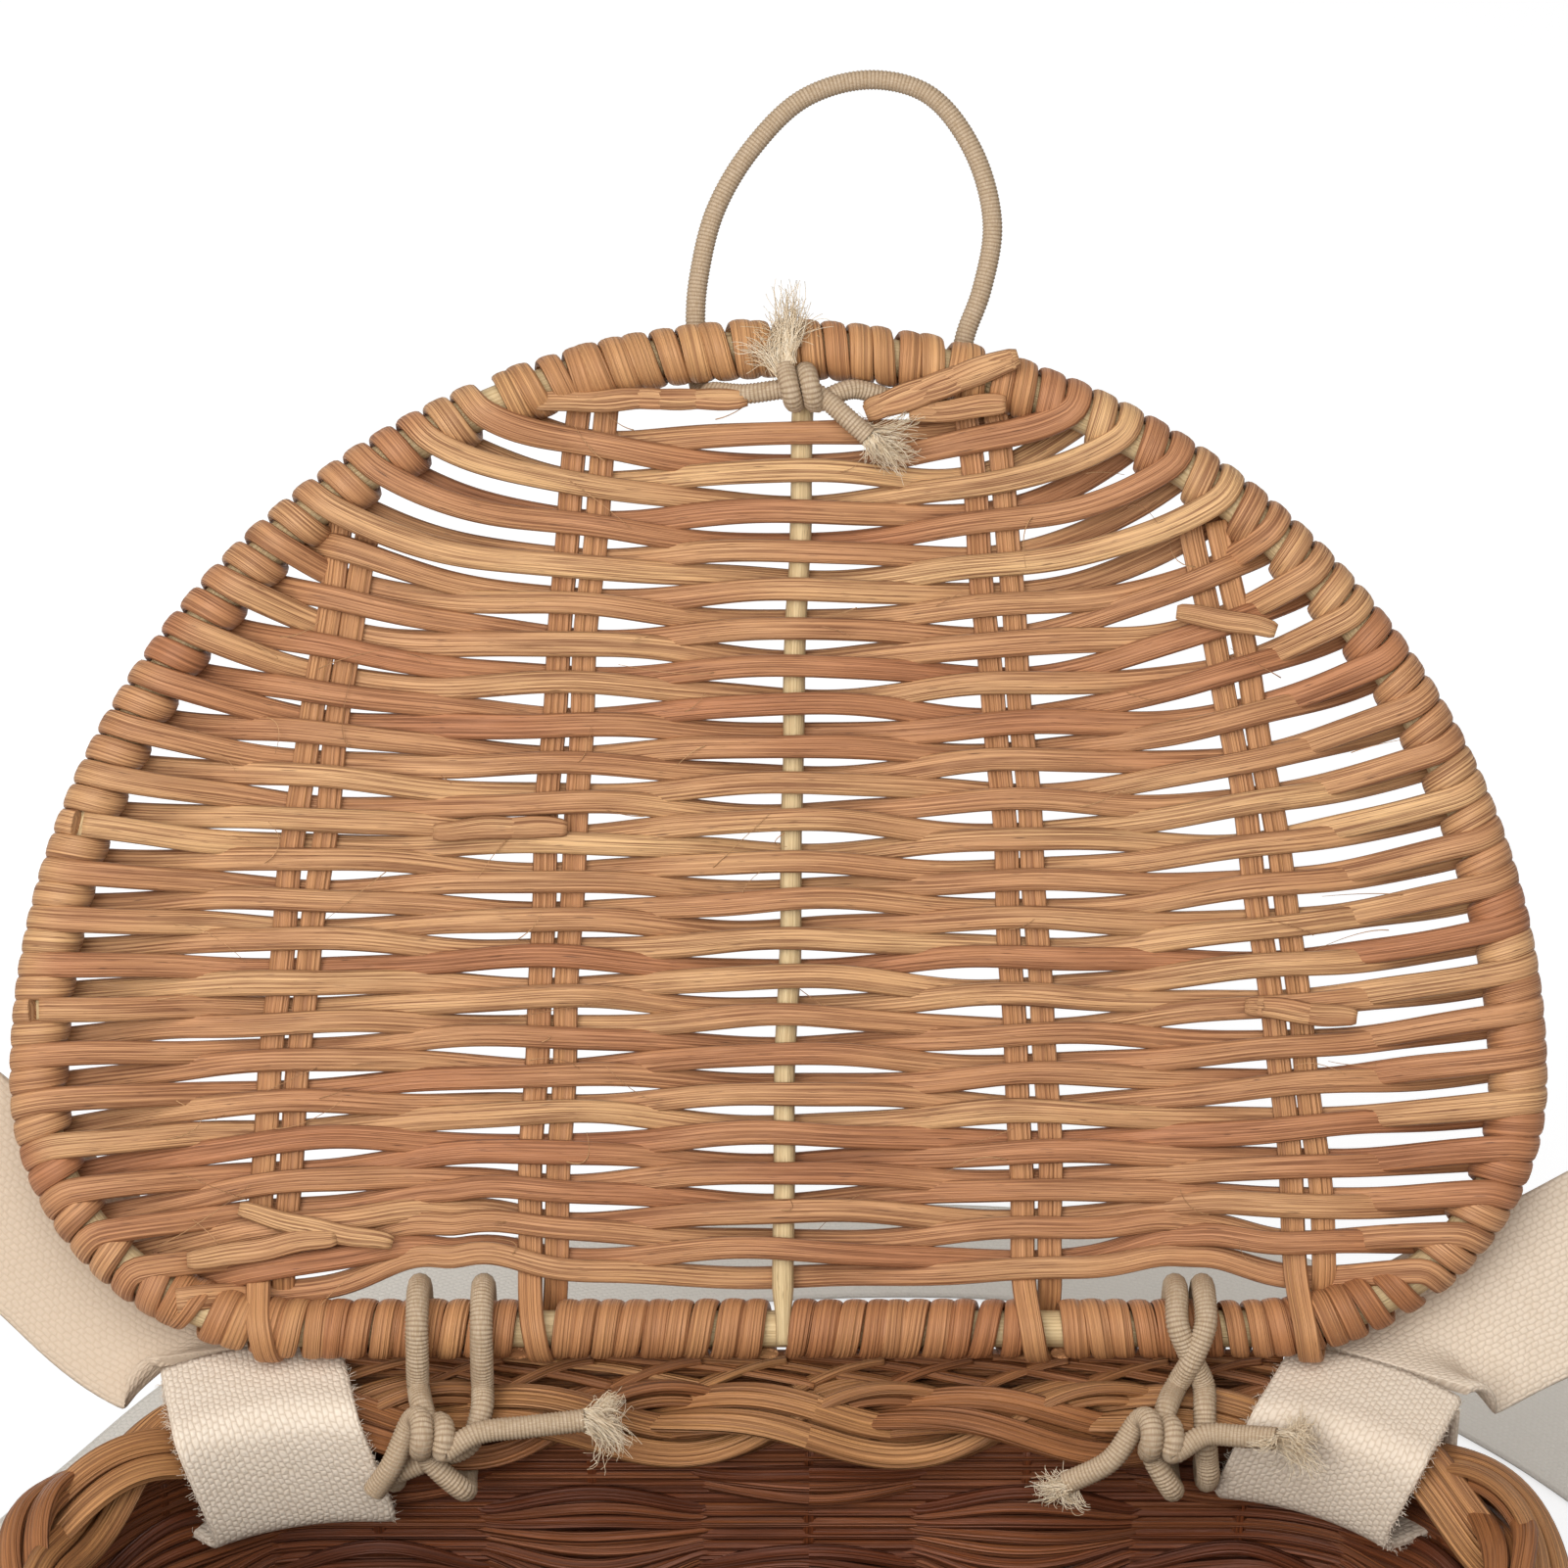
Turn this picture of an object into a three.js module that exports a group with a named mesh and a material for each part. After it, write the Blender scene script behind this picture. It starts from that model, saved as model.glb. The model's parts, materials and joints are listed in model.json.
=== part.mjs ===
// Woven rattan shoulder bag with a hinged openwork lid, standing open on a table.
// Millimetres, +Z up, +X to the right, +Y to the hinge side. The origin is under the middle of the base.
import * as THREE from 'three';

// Lid outline, on the centre line of its bent cane hoop
const LID_HALF_WIDTH = 119.3;
const LID_HINGE_HALF = 75.8;
const LID_CORNER_DEPTH = 39.8;
const LID_DOME_DEPTH = 118.3;
const LID_OPEN_ANGLE = 125;

// Cane and reed sizes of the lid
const HOOP_DIAMETER = 6;
const WEAVER_WIDTH = 2.7;
const WEAVER_THICKNESS = 1.2;
const ROW_GAP = 0.5;
const WEAVER_COUNT = 6;
const FIRST_ROW_HEIGHT = 12.2;
const FRONT_ROW_MARGIN = 14.6;
const FIRST_WRAP_ARC = 26;
const LAST_WRAP_ARC = 40.8;
const ROW_BEND = 4;
const STAKE_REED_WIDTH = 3.8;
const STAKE_REED_THICKNESS = 1.4;
const STAKE_REED_GAP = 0.8;
const STAKE_TOP_GAP = 8;
const STAKE_BOW = 1.6;
const FLOAT_SPAN = 16;
const FLOAT_SLACK = 1.3;
const EDGE_SLACK = 0.15;
const MIDDLE_SLACK = 0.5;
const CENTER_ROD_DIAMETER = 3.4;
const LASHING_WIDTH = 5.4;
const LASHING_THICKNESS = 1.3;
const LASHING_GAP = 1;
const FRONT_LASHING_STOP = 12;

// Each stake group of the lid: where it leaves the hinge edge and how far its top leans
const OUTER_LEFT_STAKE = { edge: -82, lean: 18.9 };
const INNER_LEFT_STAKE = { edge: -38, lean: 8.7 };
const CENTER_STAKE = { edge: 0.8, lean: 3.7 };
const INNER_RIGHT_STAKE = { edge: 42, lean: -10.4 };
const OUTER_RIGHT_STAKE = { edge: 86, lean: -23.8 };

// Basket
const RIM_INSET = 2.3;
const RIM_STRAIGHT_INSET = 1.8;
const RIM_DOME_INSET = 6.3;
const BASE_HALF_WIDTH = 105;
const WALL_FLARE = 1.4;
const FLOOR_THICKNESS = 5;
const BASE_HOOP_DIAMETER = 6;
const STAKE_COUNT = 18;
const UPRIGHT_WIDTH = 3;
const UPRIGHT_THICKNESS = 2.6;
const BAND_COUNT = 11;
const BAND_HEIGHT = 12.1;
const BAND_GAP = 0.54;
const BAND_THICKNESS = 1.7;
const TOP_BAND_HEIGHT = 4;
const RIM_STRAND_DIAMETER = 4.8;
const RIM_PLAIT_WIDTH = 14.4;
const RIM_PLAIT_TURNS = 6;
const PATTERN_SHIFT = 5;

// Soft goods
const ELASTIC_DIAMETER = 3.2;
const WEBBING_WIDTH = 30;
const WEBBING_THICKNESS = 1.8;
const WEBBING_TURN = 3;
const WEBBING_SLACK = 0.6;
const STRAP_TURN = 18;
const KNOT_CURL_RADIUS = 2.5;
const KNOT_CURL_TURNS = 1.5;
const KNOT_CURL_GAP = 0.7;
const BUTTON_DIAMETER = 16;
const BUTTON_THICKNESS = 5;
const BUTTON_SIDE = 10;

// Clearances
const CLEARANCE = 0.3;
const PASS_CLEARANCE = 0.4;
const HINGE_CLEARANCE = 0.8;
const HINGE_SETBACK = 6;
const STRAND_GAP = 0.45;
const TIE_CLEARANCE = 0.6;
const BAND_SLACK = 1;

const PINK_REED = 0xc08555;
const PALE_CANE = 0xd2b98c;
const DARK_REED = 0xa56a3e;
const RIM_REED = 0xb98552;
const COTTON = 0xe2d4c2;
const ELASTIC = 0xcbb393;
const TURNED_WOOD = 0xb98a5a;

const bag = new THREE.Group();

// Adds one named piece to its group, with a rough material of its own
function addPiece(group, name, geometry, color) {
  const material = new THREE.MeshStandardMaterial({ color, roughness: 0.75, metalness: 0 });
  const piece = new THREE.Mesh(geometry, material);
  piece.name = name;
  group.add(piece);
  return piece;
}

function vector(x, y, z) {
  return new THREE.Vector3(x, y, z);
}

// A flat reed's section, and a round one's, both drawn counter-clockwise
function flatSection(width, thickness) {
  const w = width / 2;
  const t = thickness / 2;
  return [[w, t], [-w, t], [-w, -t], [w, -t]];
}

function roundSection(diameter, sides) {
  const corner = (unused, i) => {
    const angle = (2 * Math.PI * (i + 0.5)) / sides;
    return [Math.cos(angle) * diameter / 2, Math.sin(angle) * diameter / 2];
  };
  return Array.from({ length: sides }, corner);
}

function meshFrom(positions, indices) {
  const geometry = new THREE.BufferGeometry();
  geometry.setAttribute('position', new THREE.Float32BufferAttribute(positions, 3));
  geometry.setIndex(indices);
  geometry.computeVertexNormals();
  return geometry;
}

// Carries a section along stations. A station has its centre, its across direction and its facing
// direction, and across times facing points along the travel. A closed sweep joins its two ends.
function sweep(stations, section, closed = false) {
  const sides = section.length;
  const positions = [];
  const indices = [];
  for (const { at, across, facing, widen = 1 } of stations) {
    for (const [a, f] of section) {
      const corner = at.clone().addScaledVector(across, a * widen).addScaledVector(facing, f);
      positions.push(corner.x, corner.y, corner.z);
    }
  }
  const spans = closed ? stations.length : stations.length - 1;
  for (let i = 0; i < spans; i += 1) {
    const here = i * sides;
    const next = ((i + 1) % stations.length) * sides;
    for (let c = 0; c < sides; c += 1) {
      const d = (c + 1) % sides;
      indices.push(here + c, here + d, next + d, here + c, next + d, next + c);
    }
  }
  const last = (stations.length - 1) * sides;
  for (let c = 1; c < sides - 1 && !closed; c += 1) {
    indices.push(0, c + 1, c, last, last + c, last + c + 1);
  }
  return meshFrom(positions, indices);
}

// A round cord along a smooth curve through its points
function cord(points, diameter, sides, steps) {
  const curve = new THREE.CatmullRomCurve3(points);
  const frames = curve.computeFrenetFrames(steps, false);
  const stations = frames.tangents.map((unused, i) => ({
    at: curve.getPointAt(i / steps),
    across: frames.normals[i],
    facing: frames.binormals[i],
  }));
  return sweep(stations, roundSection(diameter, sides));
}

// A sheet of even thickness over a grid of middle points and their normals
function sheet(middle, normals, thickness) {
  const rows = middle.length;
  const columns = middle[0].length;
  const positions = [];
  for (const side of [0.5, -0.5]) {
    middle.forEach((row, i) => row.forEach((point, j) => {
      const p = point.clone().addScaledVector(normals[i][j], side * thickness);
      positions.push(p.x, p.y, p.z);
    }));
  }
  const under = rows * columns;
  const indices = [];
  const quad = (a, b, c, d) => indices.push(a, b, c, a, c, d);
  for (let i = 0; i < rows - 1; i += 1) {
    for (let j = 0; j < columns - 1; j += 1) {
      const k = i * columns + j;
      quad(k, k + 1, k + columns + 1, k + columns);
      quad(under + k, under + k + columns, under + k + columns + 1, under + k + 1);
    }
    const left = i * columns;
    const right = left + columns - 1;
    quad(left, left + columns, under + left + columns, under + left);
    quad(right, under + right, under + right + columns, right + columns);
  }
  const end = (rows - 1) * columns;
  for (let j = 0; j < columns - 1; j += 1) {
    quad(j, under + j, under + j + 1, j + 1);
    quad(end + j, end + j + 1, under + end + j + 1, under + end + j);
  }
  return meshFrom(positions, indices);
}

// The bag's outline: a straight hinge edge, two round corners and a dome, measured by arc length from the
// middle of the hinge edge
class BentOutline {
  constructor(halfWidth, hingeHalf, cornerDepth, domeDepth) {
    const corner = halfWidth - hingeHalf;
    const quarter = Math.PI / 2;
    this.halfWidth = halfWidth;
    this.cornerDepth = cornerDepth;
    this.domeDepth = domeDepth;
    this.path = new THREE.Path();
    this.path.moveTo(0, 0);
    this.path.lineTo(hingeHalf, 0);
    this.path.absellipse(hingeHalf, cornerDepth, corner, cornerDepth, -quarter, 0, false);
    this.path.absellipse(0, cornerDepth, halfWidth, domeDepth, 0, 2 * quarter, false);
    this.path.absellipse(-hingeHalf, cornerDepth, corner, cornerDepth, 2 * quarter, 3 * quarter, false);
    this.path.lineTo(0, 0);
    this.length = this.path.getLength();
  }

  at(arc) {
    const share = (((arc / this.length) % 1) + 1) % 1;
    const along = this.path.getTangent(share);
    return { point: this.path.getPoint(share), along, out: new THREE.Vector2(along.y, -along.x) };
  }

  domeHeight(x) {
    return this.cornerDepth + this.domeDepth * Math.sqrt(1 - (x / this.halfWidth) ** 2);
  }
}

// Least gap between neighbouring turns of a flat winding, from points on the edges that face each other
function leastTurnGap(stations, stepsPerTurn, width) {
  let least = Infinity;
  for (let i = 0; i + stepsPerTurn < stations.length; i += 1) {
    const here = stations[i];
    const next = stations[i + stepsPerTurn];
    const edge = here.at.clone().addScaledVector(here.across, width / 2);
    const facing = next.at.clone().addScaledVector(next.across, -width / 2);
    least = Math.min(least, edge.distanceTo(facing));
  }
  return least;
}

const hoopRadius = HOOP_DIAMETER / 2;
const elasticRadius = ELASTIC_DIAMETER / 2;
const wrapSteps = 8;
const wrapFlat = Math.cos(Math.PI / wrapSteps);
// Middle radius of a reed wrapped round the hoop in flat steps that clear the cane
const wrapRadius = (thickness) => (hoopRadius + CLEARANCE + thickness / 2) / wrapFlat;
const thickestWrap = Math.max(WEAVER_THICKNESS, STAKE_REED_THICKNESS, LASHING_THICKNESS);
const wrapReach = wrapRadius(thickestWrap) + thickestWrap / 2;

// Heights of the basket, from the table up
const bandStart = Math.max(FLOOR_THICKNESS, BASE_HOOP_DIAMETER + CLEARANCE) + BAND_GAP;
const bandsTop = bandStart + BAND_COUNT * (BAND_HEIGHT + BAND_GAP) - BAND_GAP;
const passGap = ELASTIC_DIAMETER + 2 * PASS_CLEARANCE;
const passHeight = bandsTop + passGap / 2;
const topBandTop = bandsTop + passGap + TOP_BAND_HEIGHT;
const wallTop = topBandTop + passGap;
const tieHeight = (topBandTop + wallTop + BAND_GAP) / 2;
// Two strands that cross in the plait are 1.5 times its rise apart
const plaitRise = (RIM_STRAND_DIAMETER + STRAND_GAP) / 1.5;
const plaitSway = (RIM_PLAIT_WIDTH - RIM_STRAND_DIAMETER) / 2;
const plaitHalfHeight = plaitRise + RIM_STRAND_DIAMETER / 2;
const rimMiddle = wallTop + BAND_GAP + plaitHalfHeight;
const rimTop = rimMiddle + plaitHalfHeight;

const hoop = new BentOutline(LID_HALF_WIDTH, LID_HINGE_HALF, LID_CORNER_DEPTH, LID_DOME_DEPTH);
const rim = new BentOutline(
  LID_HALF_WIDTH - RIM_INSET,
  LID_HINGE_HALF - RIM_STRAIGHT_INSET,
  LID_CORNER_DEPTH,
  LID_DOME_DEPTH - RIM_DOME_INSET,
);
const rimBack = (rim.cornerDepth + rim.domeDepth) / 2;
const hingeY = rimBack + HINGE_SETBACK;
const hingeZ = rimTop + CLEARANCE + WEBBING_THICKNESS + HINGE_CLEARANCE + wrapReach;
const stakeSpacing = rim.length / STAKE_COUNT;

// Plan of the basket: a place on the rim line, with its directions along the rim and outwards
function rimPlace(arc) {
  const { point, along, out } = rim.at(arc + PATTERN_SHIFT);
  return {
    at: vector(point.x, rimBack - point.y, 0),
    along: vector(along.x, -along.y, 0),
    out: vector(out.x, -out.y, 0),
  };
}

// The wall flares from the base outline to the rim
function wallScale(height) {
  const baseShare = BASE_HALF_WIDTH / rim.halfWidth;
  const below = Math.max(0, 1 - height / wallTop);
  return 1 - (1 - baseShare) * below ** WALL_FLARE;
}

function wallPlace(arc, offset, height) {
  const { at, along, out } = rimPlace(arc);
  const middle = at.multiplyScalar(wallScale(height)).addScaledVector(out, offset).setZ(height);
  return { at: middle, along, out };
}

const down = vector(0, 0, -1);

// Base: a bent cane hoop with the woven floor inside it
function buildBase() {
  const uprightInner = UPRIGHT_THICKNESS / 2;
  const hoopOffset = uprightInner + CLEARANCE + BASE_HOOP_DIAMETER / 2;
  const floorOffset = hoopOffset + BASE_HOOP_DIAMETER / 2 + CLEARANCE;
  const sectors = 2 * STAKE_COUNT;
  const hoopHeight = BASE_HOOP_DIAMETER / 2;
  const ring = [];
  const floorPoints = [];
  for (let i = 0; i < sectors; i += 1) {
    const arc = (i * rim.length) / sectors;
    const { at, out } = wallPlace(arc, -hoopOffset, hoopHeight);
    ring.push({ at, across: down, facing: out });
    const edge = wallPlace(arc, -floorOffset, hoopHeight).at;
    floorPoints.push(new THREE.Vector2(edge.x, edge.y));
  }
  addPiece(bag, 'base_hoop', sweep(ring, roundSection(BASE_HOOP_DIAMETER, 6), true), PALE_CANE);
  const floor = new THREE.ExtrudeGeometry(new THREE.Shape(floorPoints), {
    depth: FLOOR_THICKNESS,
    bevelEnabled: false,
  });
  addPiece(bag, 'base_floor', floor, DARK_REED);
}

// Uprights: each is one reed bent up at both ends, so it stands as two neighbouring wall stakes
function buildUprights() {
  const foot = CLEARANCE + UPRIGHT_WIDTH / 2;
  const top = wallTop + BAND_GAP / 2;
  const levels = [1, 0.72, 0.42, 0.16].map((share) => share * top);
  const turn = Math.SQRT1_2;
  for (let pair = 0; pair < STAKE_COUNT / 2; pair += 1) {
    const firstArc = 2 * pair * stakeSpacing;
    const secondArc = firstArc + stakeSpacing;
    const stations = [];
    const upright = (arc, heights, sign) => heights.forEach((height) => {
      const { at, along, out } = wallPlace(arc, 0, height);
      stations.push({ at, across: along.multiplyScalar(sign), facing: out });
    });
    const corner = (arc, sign) => {
      const { at, along, out } = wallPlace(arc, 0, foot);
      const across = along.multiplyScalar(sign * turn).addScaledVector(down, turn);
      stations.push({ at, across, facing: out, widen: Math.SQRT2 });
    };
    upright(firstArc, levels, -1);
    corner(firstArc, -1);
    for (const share of [0.25, 0.5, 0.75]) {
      const { at, out } = wallPlace(firstArc + share * stakeSpacing, 0, foot);
      stations.push({ at, across: down, facing: out });
    }
    corner(secondArc, 1);
    upright(secondArc, levels.toReversed(), 1);
    const reed = sweep(stations, flatSection(UPRIGHT_WIDTH, UPRIGHT_THICKNESS));
    addPiece(bag, `wall_stakes_${pair + 1}`, reed, DARK_REED);
  }
}

// Wall: bands of reeds that pass inside one stake and outside the next, each band the other way round
function buildBands() {
  const lift = UPRIGHT_THICKNESS / 2 + CLEARANCE + BAND_THICKNESS / 2 + BAND_SLACK;
  const band = (index, height, width) => {
    const stations = [];
    for (let i = 0; i < 2 * STAKE_COUNT; i += 1) {
      const side = (i / 2 + index) % 2 === 0 ? 1 : -1;
      const offset = i % 2 === 0 ? side * lift : 0;
      const { at, out } = wallPlace((i * stakeSpacing) / 2, offset, height);
      stations.push({ at, across: down, facing: out });
    }
    const name = `wall_band_${String(index + 1).padStart(2, '0')}`;
    addPiece(bag, name, sweep(stations, flatSection(width, BAND_THICKNESS), true), DARK_REED);
  };
  for (let i = 0; i < BAND_COUNT; i += 1) {
    band(i, bandStart + i * (BAND_HEIGHT + BAND_GAP) + BAND_HEIGHT / 2, BAND_HEIGHT);
  }
  band(BAND_COUNT, topBandTop - TOP_BAND_HEIGHT / 2, TOP_BAND_HEIGHT);
}

// Rim: a three-strand plait. Each strand sways across the rim once a turn and rises and dips twice.
// A strand is at its lowest over each stake.
function buildRim() {
  const stepsPerTurn = 12;
  const steps = RIM_PLAIT_TURNS * stepsPerTurn;
  const strands = 3;
  const lowest = 0.75 * Math.PI;
  for (let strand = 0; strand < strands; strand += 1) {
    const stations = [];
    for (let i = 0; i < steps; i += 1) {
      const phase = lowest + 2 * Math.PI * (i / stepsPerTurn + strand / strands);
      const { at, out } = rimPlace((i * rim.length) / steps);
      at.addScaledVector(out, plaitSway * Math.sin(phase));
      at.setZ(rimMiddle + plaitRise * Math.sin(2 * phase));
      stations.push({ at, across: down, facing: out });
    }
    const tube = sweep(stations, roundSection(RIM_STRAND_DIAMETER, 5), true);
    addPiece(bag, `rim_strand_${strand + 1}`, tube, RIM_REED);
  }
}

// Strap ends: webbing that comes up inside the rim, over it and out, with its end turned up outside
const strapArc = 2.5 * stakeSpacing;
const webbingOut = RIM_PLAIT_WIDTH / 2 + CLEARANCE + WEBBING_SLACK + WEBBING_THICKNESS / 2;
const webbingOver = rimTop + CLEARANCE + WEBBING_THICKNESS / 2;
const strapStart = webbingOut + WEBBING_THICKNESS / 2;

function buildStrapLoop(side, name) {
  const turn = WEBBING_TURN;
  const route = [
    [webbingOut, webbingOver - WEBBING_THICKNESS - CLEARANCE],
    [webbingOut, rimMiddle],
    [webbingOut, passHeight + 2 * turn],
    [webbingOut - turn / 3, passHeight + turn / 2],
    [webbingOut - turn, passHeight],
    [-webbingOut + turn, passHeight],
    [-webbingOut + turn / 3, passHeight + turn / 2],
    [-webbingOut, passHeight + 2 * turn],
    [-webbingOut, rimMiddle + turn / 2],
    [-webbingOut + turn / 3, webbingOver - turn / 2],
    [-webbingOut + turn, webbingOver],
    [0, webbingOver],
    [strapStart - CLEARANCE, webbingOver],
  ].map(([out, height]) => new THREE.Vector2(out, height));
  const columns = 5;
  const { out } = rimPlace(side * strapArc);
  const middle = [];
  const normals = [];
  route.forEach((spot, i) => {
    const before = route[Math.max(0, i - 1)];
    const after = route[Math.min(route.length - 1, i + 1)];
    const travel = after.clone().sub(before).normalize();
    const row = [];
    const facing = [];
    for (let j = 0; j < columns; j += 1) {
      const across = (j / (columns - 1) - 0.5) * WEBBING_WIDTH;
      const { at } = rimPlace(side * strapArc + across);
      row.push(at.addScaledVector(out, spot.x).setZ(spot.y));
      facing.push(out.clone().multiplyScalar(-travel.y).setZ(travel.x));
    }
    middle.push(row);
    normals.push(facing);
  });
  addPiece(bag, name, sheet(middle, normals, WEBBING_THICKNESS), COTTON);
}

// Shoulder strap between the two loops: x, y, z and the tilt of its face, leaving the left loop, lying on
// the table behind the bag and rising to the right loop
const STRAP_ROUTE = [
  [-96, 88.2, 171.8, -36],
  [-106, 92.5, 177, -46],
  [-118, 99.5, 185.8, -50],
  [-126, 104.2, 191.3, -50],
  [-140, 111.8, 199.5, -48],
  [-156, 120.5, 203, -40],
  [-176, 131, 198, -25],
  [-194, 140, 177, -10],
  [-206, 147, 140, 0],
  [-211, 152, 95, 0],
  [-209, 157, 50, 0],
  [-200, 164, 16, 0],
  [-184, 174, 3, 0],
  [-162, 196, 1.5, 0],
  [-136, 232, 1.5, 0],
  [-112, 265, 1.5, 0],
  [-85, 288, 1.5, 0],
  [-51, 303, 1.5, 0],
  [0, 312, 1.5, 0],
  [50, 312, 1.5, 0],
  [88, 304, 1.5, 0],
  [124, 286, 1.5, 0],
  [158, 258, 1.5, 0],
  [185, 226, 3, 0],
  [201, 200, 14, 0],
  [210, 178, 48, 0],
  [212, 162, 95, 0],
  [208, 148, 140, 0],
  [195, 136, 170, -10],
  [177, 122, 184, -25],
  [158, 107, 185.6, -40],
  [142, 99.2, 183.2, -48],
  [128, 94, 178.2, -50],
  [118, 90.9, 174.7, -50],
  [108, 87.4, 171, -46],
];

function buildStrap() {
  const steps = 84;
  const end = (side) => {
    const { at, out } = rimPlace(side * strapArc);
    return at.addScaledVector(out, strapStart).setZ(webbingOver);
  };
  const points = [end(-1), ...STRAP_ROUTE.map(([x, y, z]) => vector(x, y, z)), end(1)];
  const tilts = [0, ...STRAP_ROUTE.map((spot) => spot[3]), 0];
  const curve = new THREE.CatmullRomCurve3(points);
  const stepLength = curve.getLength() / steps;
  const alongRim = [-1, 1].map((side) => rimPlace(side * strapArc).along.multiplyScalar(-side));
  const stations = [];
  for (let i = 0; i <= steps; i += 1) {
    const share = curve.getUtoTmapping(i / steps);
    const travel = curve.getTangent(share);
    const spot = share * (points.length - 1);
    const before = Math.min(Math.floor(spot), points.length - 2);
    const tilt = THREE.MathUtils.lerp(tilts[before], tilts[before + 1], spot - before);
    const level = vector(travel.y, -travel.x, 0).normalize();
    const face = level.applyAxisAngle(travel, THREE.MathUtils.degToRad(tilt));
    const fromEnd = Math.min(i, steps - i) * stepLength;
    const turned = THREE.MathUtils.smoothstep(fromEnd, 0, STRAP_TURN);
    const across = alongRim[i < steps / 2 ? 0 : 1].clone().lerp(face, turned).normalize();
    const facing = travel.clone().cross(across).normalize();
    stations.push({ at: curve.getPoint(share), across, facing });
  }
  addPiece(bag, 'shoulder_strap', sweep(stations, flatSection(WEBBING_WIDTH, WEBBING_THICKNESS)), COTTON);
}

// Hinge ties: elastic wound twice round the lid's hoop and the rim, with its ends knotted inside; shift is
// measured along the rim from the middle between two uprights. Over and under are where the two strands
// pass over the hoop and under the rim beside it, and rise is the knot's height above the rim.
const LEFT_TIE = { side: -1, shift: -5, over: [-4.5, 5.8], under: [-8.6, 2.8], knot: -2.6, rise: 1.8 };
const RIGHT_TIE = { side: 1, shift: 7.8, over: [-2.4, 2.4], under: [-4, 2], knot: -7, rise: 0 };
const tieArc = 1.5 * stakeSpacing;
const tieRadius = wrapReach + TIE_CLEARANCE + elasticRadius;
const tieInside = rimBack - RIM_PLAIT_WIDTH / 2 - CLEARANCE - elasticRadius;
const tieOutside = rimBack + RIM_PLAIT_WIDTH / 2 + CLEARANCE + elasticRadius;
const knotInside = tieInside - ELASTIC_DIAMETER - CLEARANCE;
const knotY = tieInside - 2.3;

function buildTie(tie, name) {
  const middle = rimPlace(tie.side * tieArc + tie.shift).at.x;
  const slant = tieRadius * Math.SQRT1_2;
  const turn = (over, under, inside) => [
    [over, hingeY - tieRadius - 1.2, hingeZ - tieRadius * 0.75],
    [over, hingeY - tieRadius, hingeZ],
    [over, hingeY - slant, hingeZ + slant],
    [over, hingeY, hingeZ + tieRadius],
    [over, hingeY + slant, hingeZ + slant],
    [over, hingeY + tieRadius, hingeZ],
    [over, tieOutside + 1.5, rimMiddle + 4],
    [under, tieOutside, rimMiddle - 4],
    [under, rimBack + 6.3, tieHeight + 0.5],
    [under, rimBack, tieHeight],
    [under, rimBack - 6.3, tieHeight + 0.5],
    [under, inside, rimMiddle - 4],
  ];
  const [firstOver, secondOver] = tie.over;
  const [firstUnder, secondUnder] = tie.under;
  const points = [
    [tie.knot - 2.5, knotY + 4.7, rimTop + 2.5],
    ...turn(firstOver, firstUnder, tieInside),
    [THREE.MathUtils.lerp(firstUnder, secondOver, 0.45), tieInside, rimMiddle - 0.5],
    [THREE.MathUtils.lerp(firstUnder, secondOver, 0.85), tieInside, rimMiddle + 2.5],
    [secondOver, rimBack - plaitSway - 1, rimTop + elasticRadius / 2],
    ...turn(secondOver, secondUnder, knotInside),
    [THREE.MathUtils.lerp(secondUnder, tie.knot, 0.6), knotInside, rimMiddle - 0.5],
    [tie.knot, knotY - 0.2, rimTop + tie.rise - 5],
  ].map(([x, y, z]) => vector(middle + x, y, z));
  addPiece(bag, name, cord(points, ELASTIC_DIAMETER, 6, 56), ELASTIC);
  return vector(middle + tie.knot, knotY, rimTop + tie.rise);
}

// A knot: the cord curls round itself between its two tails, whose points are measured from its middle
const LEFT_KNOT_TAILS = [
  [[-9, -1, -11], [-6, -0.5, -6]],
  [[8, -0.5, 1], [16, 0.5, 1.5], [25, 1.5, 2]],
];
const RIGHT_KNOT_TAILS = [
  [[-14, -1, -9], [-7, -0.5, -4.5]],
  [[9, -0.5, 0.5], [17, -2.5, 0.8], [25, -5.5, 0.5]],
];

function buildKnot(group, name, center, [firstTail, secondTail]) {
  const curlPitch = ELASTIC_DIAMETER + KNOT_CURL_GAP;
  const stepsPerTurn = 8;
  const curl = [];
  for (let i = 0; i <= KNOT_CURL_TURNS * stepsPerTurn; i += 1) {
    const angle = (2 * Math.PI * i) / stepsPerTurn;
    const across = (i / stepsPerTurn - KNOT_CURL_TURNS / 2) * curlPitch;
    const radial = vector(0, Math.cos(angle), Math.sin(angle)).multiplyScalar(KNOT_CURL_RADIUS);
    curl.push(radial.setX(across).add(center));
  }
  const offset = ([x, y, z]) => vector(x, y, z).add(center);
  const points = [...firstTail.map(offset), ...curl, ...secondTail.map(offset)];
  addPiece(group, name, cord(points, ELASTIC_DIAMETER, 6, 36), ELASTIC);
}

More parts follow.
